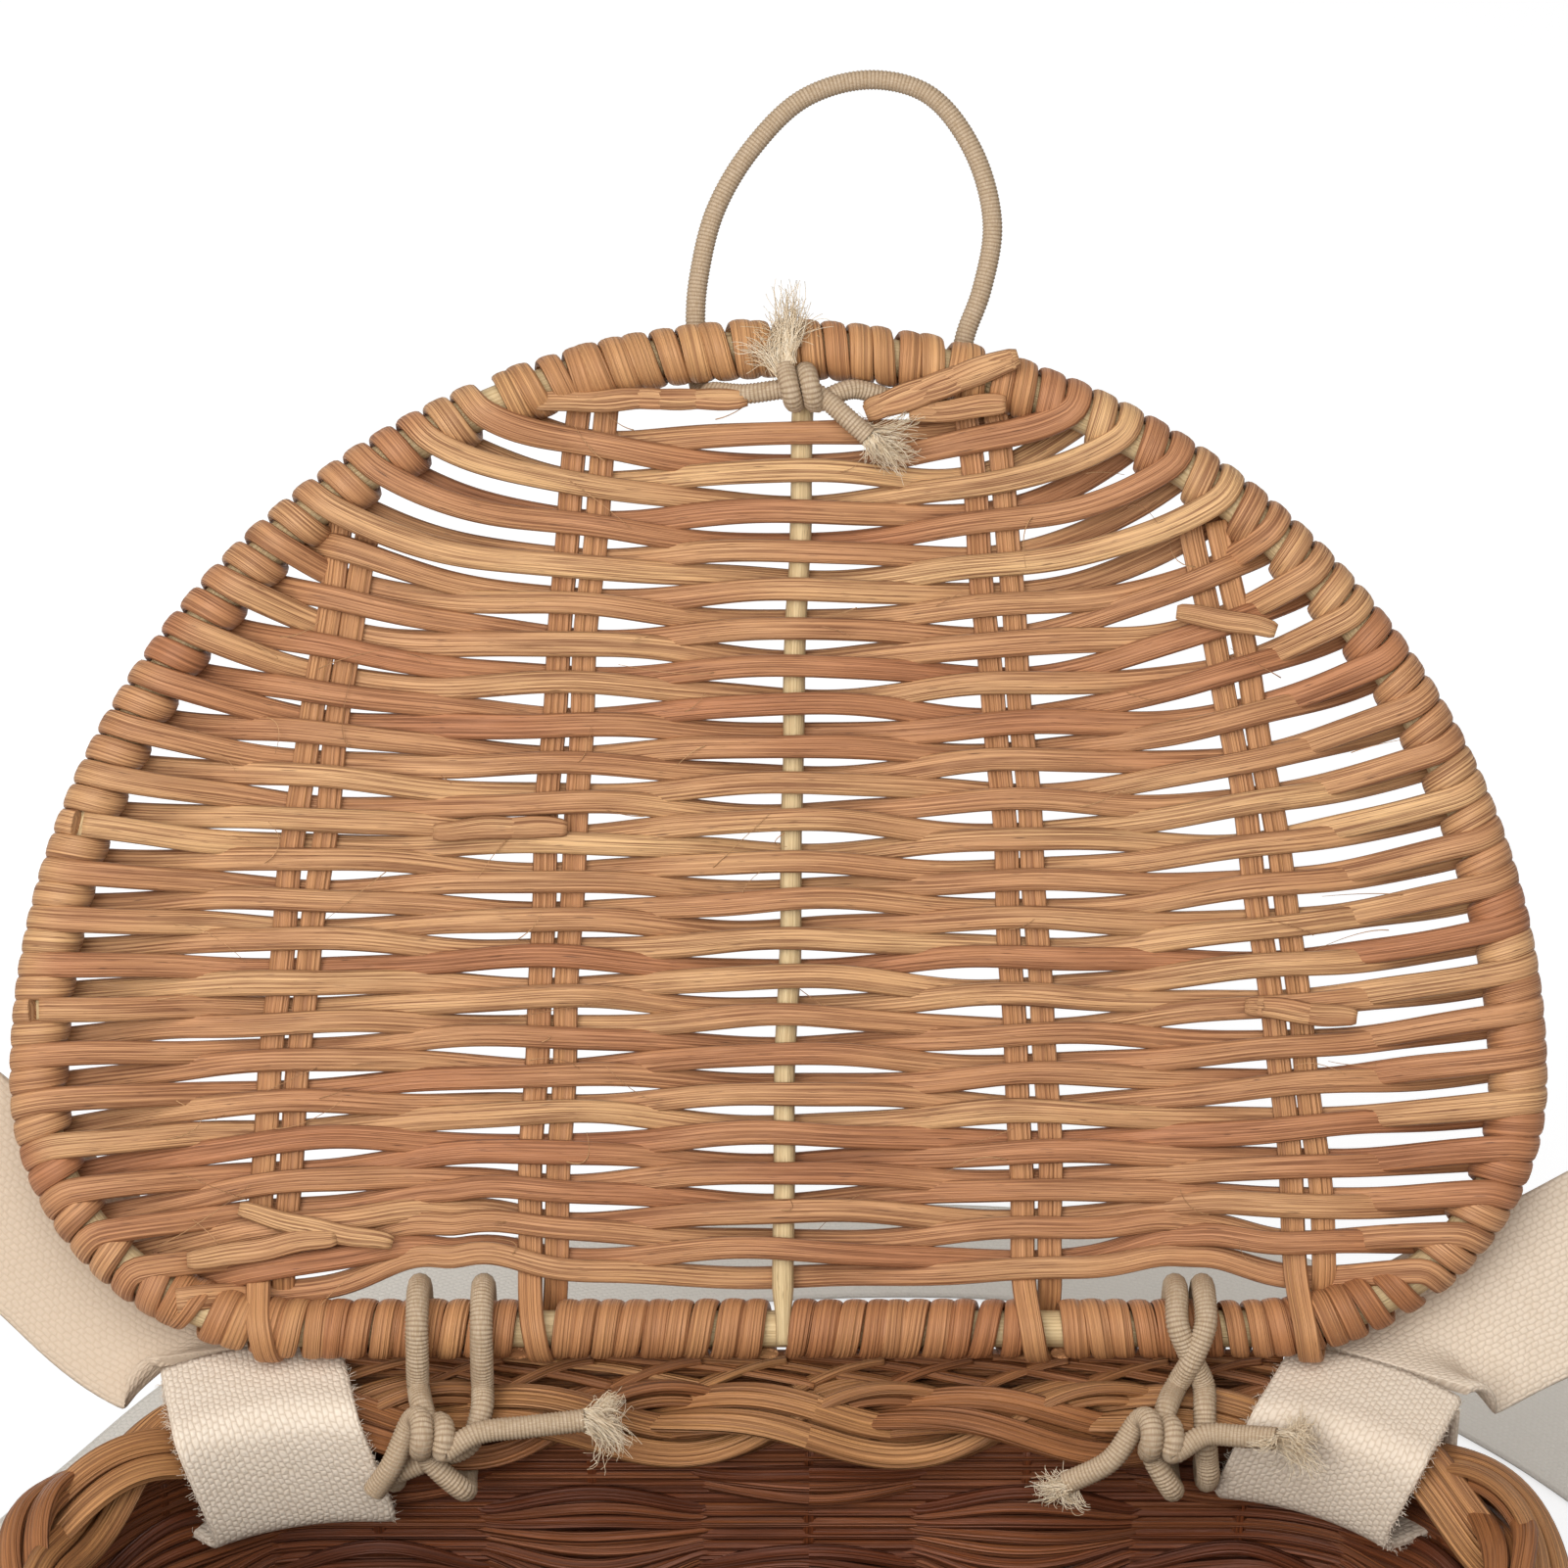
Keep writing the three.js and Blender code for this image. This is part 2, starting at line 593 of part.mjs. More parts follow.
// Button that the closure loop hooks on, with its cord through the wall below the top band
function buildButton() {
  const gap = rim.at(rim.length / 2 - BUTTON_SIDE);
  const front = rimBack - gap.point.y;
  const wallFront = front - BAND_THICKNESS / 2 - UPRIGHT_THICKNESS - CLEARANCE;
  const back = wallFront - CLEARANCE;
  const radius = BUTTON_DIAMETER / 2;
  const edge = BUTTON_THICKNESS * 0.3;
  const neck = elasticRadius + CLEARANCE;
  const dish = radius / 2;
  const profile = [
    [neck, 0],
    [radius - edge, 0],
    [radius, edge],
    [radius, BUTTON_THICKNESS - edge],
    [radius - edge, BUTTON_THICKNESS],
    [dish, BUTTON_THICKNESS - edge],
    [neck, BUTTON_THICKNESS - edge],
    [neck, 0],
  ].map(([x, y]) => new THREE.Vector2(x, y));
  const button = addPiece(bag, 'closure_button', new THREE.LatheGeometry(profile, 20), TURNED_WOOD);
  button.position.set(gap.point.x, back, passHeight);
  button.rotation.x = Math.PI;
  const stopRadius = 2 * elasticRadius;
  const stopInside = front + BAND_THICKNESS / 2 + UPRIGHT_THICKNESS + 2 * CLEARANCE;
  const face = back - BUTTON_THICKNESS + edge;
  const shank = [
    [0, face - edge / 2],
    [elasticRadius / 2, face - edge / 2],
    [elasticRadius, face],
    [elasticRadius, stopInside],
    [stopRadius, stopInside],
    [stopRadius, stopInside + stopRadius],
    [0, stopInside + stopRadius],
  ].map(([x, y]) => new THREE.Vector2(x, y));
  const buttonCord = addPiece(bag, 'closure_button_cord', new THREE.LatheGeometry(shank, 10), ELASTIC);
  buttonCord.position.set(gap.point.x, 0, passHeight);
}

// Lid, drawn flat with x across, y up from the hinge edge and z to its inner face
const lid = new THREE.Group();
lid.position.set(0, hingeY, hingeZ);
lid.rotation.x = THREE.MathUtils.degToRad(180 - LID_OPEN_ANGLE);
bag.add(lid);
const lidFront = vector(0, 0, 1);
const lidHeight = LID_CORNER_DEPTH + LID_DOME_DEPTH;

function hoopPlace(arc) {
  const { point, along, out } = hoop.at(arc);
  return {
    at: vector(point.x, point.y, 0),
    along: vector(along.x, along.y, 0),
    out: vector(out.x, out.y, 0),
  };
}

const pairHalfSpan = STAKE_REED_WIDTH + STAKE_REED_GAP / 2;
const stakeGroups = [
  { ...OUTER_LEFT_STAKE, halfSpan: pairHalfSpan, halfDepth: STAKE_REED_THICKNESS / 2 },
  { ...INNER_LEFT_STAKE, halfSpan: pairHalfSpan, halfDepth: STAKE_REED_THICKNESS / 2 },
  { ...CENTER_STAKE, halfSpan: CENTER_ROD_DIAMETER / 2, halfDepth: CENTER_ROD_DIAMETER / 2 },
  { ...INNER_RIGHT_STAKE, halfSpan: pairHalfSpan, halfDepth: STAKE_REED_THICKNESS / 2 },
  { ...OUTER_RIGHT_STAKE, halfSpan: pairHalfSpan, halfDepth: STAKE_REED_THICKNESS / 2 },
];

function stakeAcross(stake, height) {
  return stake.edge + stake.lean * Math.max(0, height / lidHeight) ** STAKE_BOW;
}

// A stake stops short of the hoop, measured square to it
function stakeTop(stake) {
  let height = lidHeight;
  for (let i = 0; i < 6; i += 1) {
    const x = stakeAcross(stake, height);
    const rise = (x / hoop.halfWidth) / Math.sqrt(1 - (x / hoop.halfWidth) ** 2);
    height = hoop.domeHeight(x) - STAKE_TOP_GAP * Math.hypot(1, rise * hoop.domeDepth / hoop.halfWidth);
  }
  return height;
}
stakeGroups.forEach((stake) => {
  stake.top = stakeTop(stake);
});

function buildLidHoop() {
  const steps = 52;
  const stations = [];
  for (let i = 0; i < steps; i += 1) {
    const { at, out } = hoopPlace((i * hoop.length) / steps);
    stations.push({ at, across: out, facing: lidFront });
  }
  stations.reverse();
  addPiece(lid, 'lid_hoop', sweep(stations, roundSection(HOOP_DIAMETER, 6), true), PALE_CANE);
}

function buildCenterStake() {
  const stake = stakeGroups[2];
  const start = wrapReach + CLEARANCE;
  const end = hoop.domeHeight(stake.edge + stake.lean) - wrapReach - CLEARANCE;
  const steps = 6;
  const stations = [];
  for (let i = 0; i <= steps; i += 1) {
    const height = THREE.MathUtils.lerp(start, end, i / steps);
    const across = vector(-1, 0, 0);
    stations.push({ at: vector(stakeAcross(stake, height), height, 0), across, facing: lidFront });
  }
  addPiece(lid, 'lid_center_stake', sweep(stations, roundSection(CENTER_ROD_DIAMETER, 8)), PALE_CANE);
}

// A doubled stake: one flat reed that comes down, turns under the hoop and goes back up beside itself
function buildStakePair(stake, name) {
  const radius = wrapRadius(STAKE_REED_THICKNESS);
  const legOffset = (STAKE_REED_WIDTH + STAKE_REED_GAP) / 2;
  const legStart = 1.6 * radius;
  const { at: seat, along, out } = hoopPlace(stake.edge);
  const across = vector(1, 0, 0);
  const stations = [];
  const leg = (side, facing, shares) => shares.forEach((share) => {
    const height = legStart + (stake.top - legStart) * share;
    const x = stakeAcross(stake, height) + side * legOffset;
    stations.push({ at: vector(x, height, 0), across, facing });
  });
  const shares = [1, 0.75, 0.5, 0.25, 0];
  leg(-1, lidFront, shares);
  const first = 60;
  const last = 300;
  for (let degrees = first; degrees <= last; degrees += 40) {
    const angle = THREE.MathUtils.degToRad(degrees);
    const facing = out.clone().multiplyScalar(-Math.cos(angle)).addScaledVector(lidFront, Math.sin(angle));
    const slide = ((degrees - first) / (last - first) - 0.5) * 2 * legOffset;
    const at = seat.clone().addScaledVector(along, slide).addScaledVector(facing, radius * 1.02);
    stations.push({ at, across: along.clone(), facing });
  }
  leg(1, lidFront.clone().negate(), shares.reverse());
  addPiece(lid, name, sweep(stations, flatSection(STAKE_REED_WIDTH, STAKE_REED_THICKNESS)), DARK_REED);
}

// Rows of the lid's weave. A row keeps its height at the middle and bends to its place on the hoop.
const rowSpan = lidHeight - FRONT_ROW_MARGIN - FIRST_ROW_HEIGHT;
const rowCount = Math.floor(rowSpan / (WEAVER_WIDTH + ROW_GAP)) + 1;
const rowPitch = rowSpan / (rowCount - 1);
const firstWrap = LID_HINGE_HALF + FIRST_WRAP_ARC;
const lastWrap = hoop.length / 2 - LAST_WRAP_ARC;
const rowArc = (row) => firstWrap + ((lastWrap - firstWrap) * row) / (rowCount - 1);
const weaverWrap = wrapRadius(WEAVER_THICKNESS);

function rowPlace(row, x) {
  const middle = FIRST_ROW_HEIGHT + row * rowPitch;
  const { at: end } = hoopPlace(rowArc(row));
  const share = Math.abs(x) / end.x;
  const height = middle + (end.y - middle) * share ** ROW_BEND;
  const slope = (Math.sign(x) * ROW_BEND * (end.y - middle) * share ** (ROW_BEND - 1)) / end.x;
  return { height, across: vector(-slope, 1, 0).normalize() };
}

// Where a row meets each stake group that reaches it, from left to right. It passes behind every other one,
// but stays on the hoop's side of a stake that stands close to the hoop.
function rowCrossings(row) {
  const crossings = [];
  stakeGroups.forEach((stake, order) => {
    let x = stake.edge;
    for (let i = 0; i < 4; i += 1) {
      x = stakeAcross(stake, rowPlace(row, x).height);
    }
    const lowEdge = rowPlace(row, x).height - WEAVER_WIDTH / 2 - CLEARANCE;
    const reaches = order === 2 || lowEdge < stake.top;
    const nearHoop = hoopPlace(rowArc(row)).at.x - Math.abs(x) - stake.halfSpan < FLOAT_SPAN;
    const side = order % 2 === 0 && !nearHoop ? -1 : 1;
    if (reaches) {
      crossings.push({ x, stake, side, nearHoop });
    }
  });
  return crossings;
}

function rowStations(row, travel) {
  const facing = vector(0, 0, travel);
  const stations = [];
  const onHoop = (side) => {
    const { at, along } = hoopPlace(side * rowArc(row));
    const across = along.multiplyScalar(side).add(rowPlace(row, at.x).across).normalize();
    stations.push({ at: at.setZ(travel * weaverWrap), across, facing });
  };
  const pass = (x, depth) => {
    const { height, across } = rowPlace(row, x);
    stations.push({ at: vector(x, height, depth), across, facing });
  };
  const crossings = rowCrossings(row);
  onHoop(-1);
  crossings.forEach(({ x, stake, side, nearHoop }, i) => {
    const lift = stake.halfDepth + CLEARANCE + WEAVER_THICKNESS / 2;
    const atEdge = i === 0 || i === crossings.length - 1;
    const tight = atEdge ? EDGE_SLACK : MIDDLE_SLACK;
    const depth = travel * side * (lift + (nearHoop ? FLOAT_SLACK : tight));
    if (atEdge) {
      pass(x - stake.halfSpan - CLEARANCE, depth);
      pass(x + stake.halfSpan + CLEARANCE, depth);
    } else {
      pass(x, depth);
    }
  });
  onHoop(1);
  return travel > 0 ? stations : stations.reverse();
}

// A weaver runs to and fro across the lid and turns round the outside of the hoop at each end
function buildWeaver(name, firstRow, lastRow) {
  const stations = [];
  for (let row = firstRow; row <= lastRow; row += 1) {
    const travel = row % 2 === 0 ? 1 : -1;
    stations.push(...rowStations(row, travel));
    for (let step = 1; step < 4 && row < lastRow; step += 1) {
      const angle = (step * Math.PI) / 4;
      const { at, along, out } = hoopPlace(travel * rowArc(row + step / 4));
      const facing = out.multiplyScalar(Math.sin(angle));
      facing.addScaledVector(lidFront, travel * Math.cos(angle));
      const across = along.multiplyScalar(travel);
      stations.push({ at: at.addScaledVector(facing, weaverWrap), across, facing });
    }
  }
  addPiece(lid, name, sweep(stations, flatSection(WEAVER_WIDTH, WEAVER_THICKNESS)), PINK_REED);
}

// A lashing winds a reed round the hoop between two places on it
function buildLashing(name, startArc, endArc) {
  const radius = wrapRadius(LASHING_THICKNESS);
  const turns = Math.floor((endArc - startArc - LASHING_WIDTH) / (LASHING_WIDTH + LASHING_GAP));
  const start = startArc + LASHING_WIDTH / 2;
  const pitch = (endArc - startArc - LASHING_WIDTH) / turns;
  const stations = [];
  for (let i = 0; i <= turns * wrapSteps; i += 1) {
    const angle = (2 * Math.PI * i) / wrapSteps;
    const { at, along, out } = hoopPlace(start + (pitch * i) / wrapSteps);
    const facing = out.multiplyScalar(Math.sin(angle)).addScaledVector(lidFront, Math.cos(angle));
    stations.push({ at: at.addScaledVector(facing, radius), across: along, facing });
  }
  const gap = leastTurnGap(stations, wrapSteps, LASHING_WIDTH);
  console.log(`${name}: ${turns} turns, least gap between turns ${gap.toFixed(2)} mm`);
  addPiece(lid, name, sweep(stations, flatSection(LASHING_WIDTH, LASHING_THICKNESS)), PINK_REED);
}

function buildLashings() {
  const clear = pairHalfSpan + LASHING_GAP;
  const edges = stakeGroups.filter((unused, i) => i !== 2).map((stake) => stake.edge);
  const apex = hoop.length / 2;
  const frontHalf = LAST_WRAP_ARC - FRONT_LASHING_STOP;
  buildLashing('lid_lashing_left', edges[0] + clear, edges[1] - clear);
  buildLashing('lid_lashing_middle', edges[1] + clear, edges[2] - clear);
  buildLashing('lid_lashing_right', edges[2] + clear, edges[3] - clear);
  buildLashing('lid_lashing_front', apex - frontHalf, apex + frontHalf);
}

// Closure loop: elastic that stands up behind the front of the hoop, in lid coordinates
const loopBehind = wrapReach + CLEARANCE + elasticRadius;
const LOOP_LEFT_FOOT = -13.1;
const LOOP_RIGHT_FOOT = 29.2;
const LEFT_LEAD_INWARD = 1;
const RIGHT_LEAD_INWARD = 8;
const CLOSURE_KNOT_SIDE = 6;
const CLOSURE_KNOT_REACH = 9;
const LOOP_ROUTE = [
  [-12.9, 12.5, -0.2],
  [-10.3, 23, -0.6],
  [-4.5, 33, -1],
  [4.2, 41.5, -1.4],
  [15, 44.5, -1.6],
  [24.5, 42, -1.4],
  [31.6, 33, -1],
  [34.8, 21, -0.6],
  [33, 10, -0.2],
];

function loopFoot(x) {
  return vector(x, hoop.domeHeight(x), -loopBehind);
}

function buildClosureLoop() {
  const base = lidHeight;
  const route = LOOP_ROUTE.map(([x, rise, lean]) => vector(x, base + rise, lean - loopBehind));
  const start = loopFoot(LOOP_LEFT_FOOT);
  const end = loopFoot(LOOP_RIGHT_FOOT);
  const above = 2 * ELASTIC_DIAMETER;
  const rising = start.clone().setY(start.y + above);
  const falling = end.clone().setY(end.y + above);
  const points = [start, rising, ...route, falling, end];
  addPiece(lid, 'closure_loop', cord(points, ELASTIC_DIAMETER, 8, 30), ELASTIC);
}

// The loop's ends pass under the hoop to the inside, where they are knotted in front of the centre stake
function buildClosureKnot() {
  const frontRow = lidHeight - FRONT_ROW_MARGIN + WEAVER_WIDTH / 2;
  const rowFace = CENTER_ROD_DIAMETER / 2 + CLEARANCE + WEAVER_THICKNESS + MIDDLE_SLACK;
  const clear = CLEARANCE + elasticRadius;
  const knot = vector(CLOSURE_KNOT_SIDE, frontRow + clear + PASS_CLEARANCE, rowFace + clear);
  const lead = (x, inward) => {
    const foot = loopFoot(x);
    const inside = x + inward;
    const under = hoop.domeHeight(inside) - wrapReach - clear;
    return [
      vector(x, foot.y - CLEARANCE, foot.z),
      vector(x, foot.y - CLEARANCE - ELASTIC_DIAMETER, foot.z + CLEARANCE),
      vector(inside, under, foot.z / 2),
      vector(inside + inward / 2, under, 0),
    ];
  };
  const left = lead(LOOP_LEFT_FOOT, LEFT_LEAD_INWARD);
  const right = lead(LOOP_RIGHT_FOOT, -RIGHT_LEAD_INWARD).reverse();
  const ease = PASS_CLEARANCE * 2;
  const middle = [
    vector(knot.x - CLOSURE_KNOT_REACH, knot.y, knot.z - ease),
    vector(knot.x - CLOSURE_KNOT_REACH / 3, knot.y, knot.z),
    vector(knot.x + CLOSURE_KNOT_REACH / 3, knot.y, knot.z),
    vector(knot.x + CLOSURE_KNOT_REACH, knot.y, knot.z - ease),
  ];
  addPiece(lid, 'closure_knot', cord([...left, ...middle, ...right], ELASTIC_DIAMETER, 6, 32), ELASTIC);
}

buildBase();
buildUprights();
buildBands();
buildRim();
buildStrapLoop(-1, 'strap_left_loop');
buildStrapLoop(1, 'strap_right_loop');
buildStrap();
const leftKnot = buildTie(LEFT_TIE, 'hinge_tie_left');
const rightKnot = buildTie(RIGHT_TIE, 'hinge_tie_right');
buildKnot(bag, 'hinge_knot_left', leftKnot, LEFT_KNOT_TAILS);
buildKnot(bag, 'hinge_knot_right', rightKnot, RIGHT_KNOT_TAILS);
buildButton();
buildLidHoop();
buildCenterStake();
buildStakePair(stakeGroups[0], 'lid_stake_pair_1');
buildStakePair(stakeGroups[1], 'lid_stake_pair_2');
buildStakePair(stakeGroups[3], 'lid_stake_pair_3');
buildStakePair(stakeGroups[4], 'lid_stake_pair_4');
for (let i = 0; i < WEAVER_COUNT; i += 1) {
  const firstRow = Math.round((i * rowCount) / WEAVER_COUNT);
  const lastRow = Math.round(((i + 1) * rowCount) / WEAVER_COUNT) - 1;
  buildWeaver(`lid_weaver_${i + 1}`, firstRow, lastRow);
}
buildLashings();
buildClosureLoop();
buildClosureKnot();

export default bag;
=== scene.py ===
"""Rattan shoulder bag: fine reeds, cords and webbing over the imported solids, with looks, light and camera.

Shapes are worked out in millimetres and laid into the meshes in metres. Lid coordinates are across the lid,
up it from the hinge edge and toward its inner face."""

import json
import math

import bpy
import numpy as np
from bpy.props import FloatProperty, FloatVectorProperty, IntProperty, PointerProperty
from mathutils import Matrix, Vector


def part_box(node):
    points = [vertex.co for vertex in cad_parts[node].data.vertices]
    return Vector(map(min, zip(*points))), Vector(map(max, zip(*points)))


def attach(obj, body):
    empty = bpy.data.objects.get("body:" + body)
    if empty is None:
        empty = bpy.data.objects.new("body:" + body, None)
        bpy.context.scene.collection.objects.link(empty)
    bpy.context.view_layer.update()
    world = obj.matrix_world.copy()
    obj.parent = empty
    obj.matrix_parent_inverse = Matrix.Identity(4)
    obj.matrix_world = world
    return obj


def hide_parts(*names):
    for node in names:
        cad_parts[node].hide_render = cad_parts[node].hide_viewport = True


bl_info = {
    "name": "Rattan shoulder bag",
    "version": (1, 0, 0),
    "blender": (4, 5, 0),
    "location": "View3D > Sidebar > Bag",
    "description": "Builds the visual pieces of a rattan shoulder bag over its packed solids",
    "category": "Object",
}

MM = 0.001
SEED = 11
UP = np.array((0, 0, 1.0))
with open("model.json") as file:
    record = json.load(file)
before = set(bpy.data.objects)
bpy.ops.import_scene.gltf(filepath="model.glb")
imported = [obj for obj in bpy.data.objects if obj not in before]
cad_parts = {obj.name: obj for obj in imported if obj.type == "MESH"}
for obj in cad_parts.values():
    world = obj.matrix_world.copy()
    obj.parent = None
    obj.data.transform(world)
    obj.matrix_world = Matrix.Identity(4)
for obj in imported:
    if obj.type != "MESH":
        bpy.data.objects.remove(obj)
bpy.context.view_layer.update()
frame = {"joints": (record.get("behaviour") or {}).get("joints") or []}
LID_HINGE = next(joint for joint in frame["joints"] if joint["name"] == "lid_hinge")
HINGE = np.array(LID_HINGE["pos_m"]) / MM

# Lid: each stake's place on the hinge edge and its lean toward the dome. The centre one is a round rod, whose
# foot is shaved and laps the hoop.
STAKES = ((-82, 18.9), (-38, 8.7), (0.8, 3.7), (42, -10.4), (86, -23.8))
CENTER = 2
STAKE_BOW = 1.6
STAKE_OFFSET = 2.25
STAKE_REED = (3.95, 1.5)
ROD_FOOT_END = -2.2
ROD_FOOT_TOP = 7
ROD_FOOT_LENGTH = 5
ROD_FOOT_DEPTH = 2.9
ROD_FOOT_SHAVED = 0.28

# Rows of the lid: the arc of the first row's left and right end, and where odd rows end between two pairs
WEAVER_ROWS = (0, 7, 14, 22, 29, 37, 44)
ROW_STARTS = ((97.5, 0.25), (106.5, 0.75))
ROW_BUNCH = 0.15
FRONT_STOP = 40.5
ROW_END_ROOM = 9
ROW_BEND = 3.8

# The lowest rows rise beside the hinge ties, the first one most
LIFTED_ROWS = 6
TIE_SPOTS = (-57.9, -47.6, 63.8, 68.6)
TIE_LIFT = 3.2
TIE_LIFT_FALL = 0.55
TIE_LIFT_WIDTH = 9

# Lashings: start and end arc and tone of each run, the front ones measured from the middle of the front
LASHING_RUNS = {
    "left": ((-99, -41.8, 0.55),),
    "middle": ((-36, -2, 0.45), (2.6, 40, 0.78)),
    "right": ((44.8, 100.5, 0.68),),
    "front": ((-43, 45, 0.2),),
}
LASHING_HANDS = {"left": 1, "middle": 1, "right": -1, "front": -1}
LASHING_PITCH = 3.75
LASHING_RADIUS = 4.0
LASHING_WIDTH = 3.8
LASHING_THICKNESS = 1.75

# Loose fibres of each weaver, and tucked lengths of reed: start, end, depth at both and width
STRAY_COUNT = 14
STRAY_FIBRE = (0.26, 0.2)
SPLICE_THICKNESS = 1.4
SPLICES = (
    ((-40, 149.4), (-5, 149.8), (3.2, 4.4), 3.4), ((14, 147.6), (38.5, 156.4), (3.4, 6.0), 4.4),
    ((21, 147.6), (36.5, 148.8), (3.4, 4.4), 3.6), ((-86.7, 19.4), (-62, 13.8), (3.6, 3.0), 3.4),
    ((-95, 11.4), (-71, 15.2), (3.8, 3.5), 3.8), ((-55.5, 80.4), (-34, 80.9), (3.4, 2.6), 3.5),
    ((75, 52.2), (93, 50.2), (3.2, 3.2), 3.6), ((64, 115.6), (80, 112.4), (3.3, 3.6), 3.5),
)

# Rim, wall and floor. The stakes and all arcs on the rim are shifted a little round it.
PATTERN_SHIFT = 5
RIM_BACK = 75.9
RIM_MIDDLE = 163.78
RIM_TOP = 169.68
RIM_BEHIND = 8.2
RIM_BACKING = (-80, 75.8)
BACKING_LEVELS = (-1.4, 0.5, 2.4, 4.3, 6.2)
BACKING_REED = (2.5, 1.5)
RISER_REED = (3.7, 1.7)
PLAIT_TURNS = 6
PLAIT_SWAY = 3.5
PLAIT_RISE = 3.4
PLAIT_REEDS = ((-2.3, 0.9), (2.2, 1.1), (-1.2, -1.2), (1.4, -1.1))
WALL_TOP = 157.34
WALL_FLARE = 1.4
STAKE_COUNT = 18
WALL_STAKE = (2.6, 1.9)
STAKE_FOOT = 1.9
BAND_COUNT = 11
BAND_START = 6.84
BAND_PITCH = 12.64
BAND_MIDDLE = 6.05
BAND_REEDS = (8, 1.58)
BAND_FILLING = 2.4
TOP_BAND = 151.34
TOP_BAND_REEDS = (3, 1.3)
PASS_HEIGHT = 147.34
BASE_HOOP = 6
FLOOR_LEVEL = 3.0
FLOOR_REED = (8.4, 1.6)
FLOOR_PITCHES = (9.3, 19.0)

# How far round a strip its grain moves on for a tint of 1, so that no two strips look alike
GRAIN_SHIFT = 900

# Shoulder strap: x, y, z and tilt of its face, from the left loop to the right one
STRAP_ROUTE = (
    (-96, 88, 170.6, -36), (-106, 92, 173.8, -46), (-118, 98.7, 181.6, -50), (-126, 103.3, 187, -50),
    (-140, 111, 195.6, -48), (-156, 120, 200, -40), (-176, 131, 198, -25), (-194, 140, 177, -10),
    (-206, 147, 140, 0), (-211, 152, 95, 0), (-209, 157, 50, 0), (-200, 164, 16, 0), (-184, 174, 3, 0),
    (-162, 196, 1.5, 0), (-136, 232, 1.5, 0), (-112, 265, 1.5, 0), (-85, 288, 1.5, 0), (-51, 303, 1.5, 0),
    (0, 312, 1.5, 0), (50, 312, 1.5, 0), (88, 304, 1.5, 0), (124, 286, 1.5, 0), (158, 258, 1.5, 0),
    (185, 226, 3, 0), (201, 200, 14, 0), (210, 178, 48, 0), (212, 162, 95, 0), (208, 148, 140, 0),
    (195, 136, 170, -10), (177, 122, 184, -25), (158, 107, 185.6, -40), (142, 99.2, 183.2, -48),
    (128, 94, 178.2, -50), (118, 90.9, 174.7, -50), (108, 87.4, 171, -46),
)
STRAP_TURN = 18
STRAP_ARC = 88.97
WEBBING_OUT = 9.0
WEBBING_OVER = 170.88
LOOP_LEAN = 6
FUZZ_COUNT = 700
FUZZ_FIBRE = 0.07
WEAVE_ROW = 0.98 * MM
WEAVE_BUMP = 1.36 * MM

# Elastic closure loop in lid coordinates, and the hinge ties' places beside their middles
LOOP_BEHIND = 6.93
LOOP_FEET = (-13.1, 29.2)
LOOP_ROUTE = (
    (-12.9, 12.5, -0.2), (-10.3, 23, -0.6), (-4.5, 33, -1), (4.2, 41.5, -1.4), (15, 44.5, -1.6),
    (24.5, 42, -1.4), (31.6, 33, -1), (34.8, 21, -0.6), (33, 10, -0.2),
)
LEFT_TIE = {"middle": -53.38, "over": (-4.5, 5.8), "under": (-8.6, 2.8), "knot": -2.6, "rise": 0.4}
RIGHT_TIE = {"middle": 66.18, "over": (2.2, -2.2), "under": (3, -3), "knot": -6, "rise": 0.2}
LEFT_TAILS = ((-9, -1, -11), (-6, -0.5, -6)), ((8, -0.5, 1), (16, 0.5, 1.5), (25, 1.5, 2))
RIGHT_TAILS = ((-14, -1, -9), (-7, -0.5, -4.5)), ((8, -0.5, 0.8), (13.5, -1.2, 1.2), (19, -2.6, 2.0))
TIE_RADIUS = 7.1
TIE_HEIGHT = 155.61
TIE_INSIDE = 66.8
TIE_OUTSIDE = 85.0
KNOT_INSIDE = 63.3
KNOT_Y = 64.5
KNOT_LEAN = math.radians(20)
KNOT_CURL = (2.6, 2.35)
KNOT_ROOF = 174.1
CLOSURE_KNOT = (3.9, 151.6, 4.5)
CLOSURE_ROOF = 6.8
CORD_SIDE = (0.3, 0.5, 0.8)
RIB_SHARE = 0.05
TUFTS = 11
FRAY_FIBRE = 0.14

# Stage: the camera's sensor in millimetres, the place in metres that both lamps face, and the floor's looks
SENSOR = 36
LAMP_AIM = (0, 0.08, 0.2)
FLOOR_GRAY = 0.55
FLOOR_GLOW = 0.66


def linear(red, green, blue):
    """A colour written from 0 to 255 as it looks on a screen, as the light it stands for."""
    share = np.array((red, green, blue)) / 255
    return tuple(np.where(share <= 0.04045, share / 12.92, ((share + 0.055) / 1.055) ** 2.4))


def length_property(name, description, default):
    """A length setting, given in millimetres."""
    return FloatProperty(name=name, description=description, default=default * MM, min=0, unit="LENGTH")


def color_property(name, description, default):
    """A colour setting, given as it looks on a screen."""
    return FloatVectorProperty(name=name, description=description, default=linear(*default), size=3,
                               min=0, max=1, subtype="COLOR")


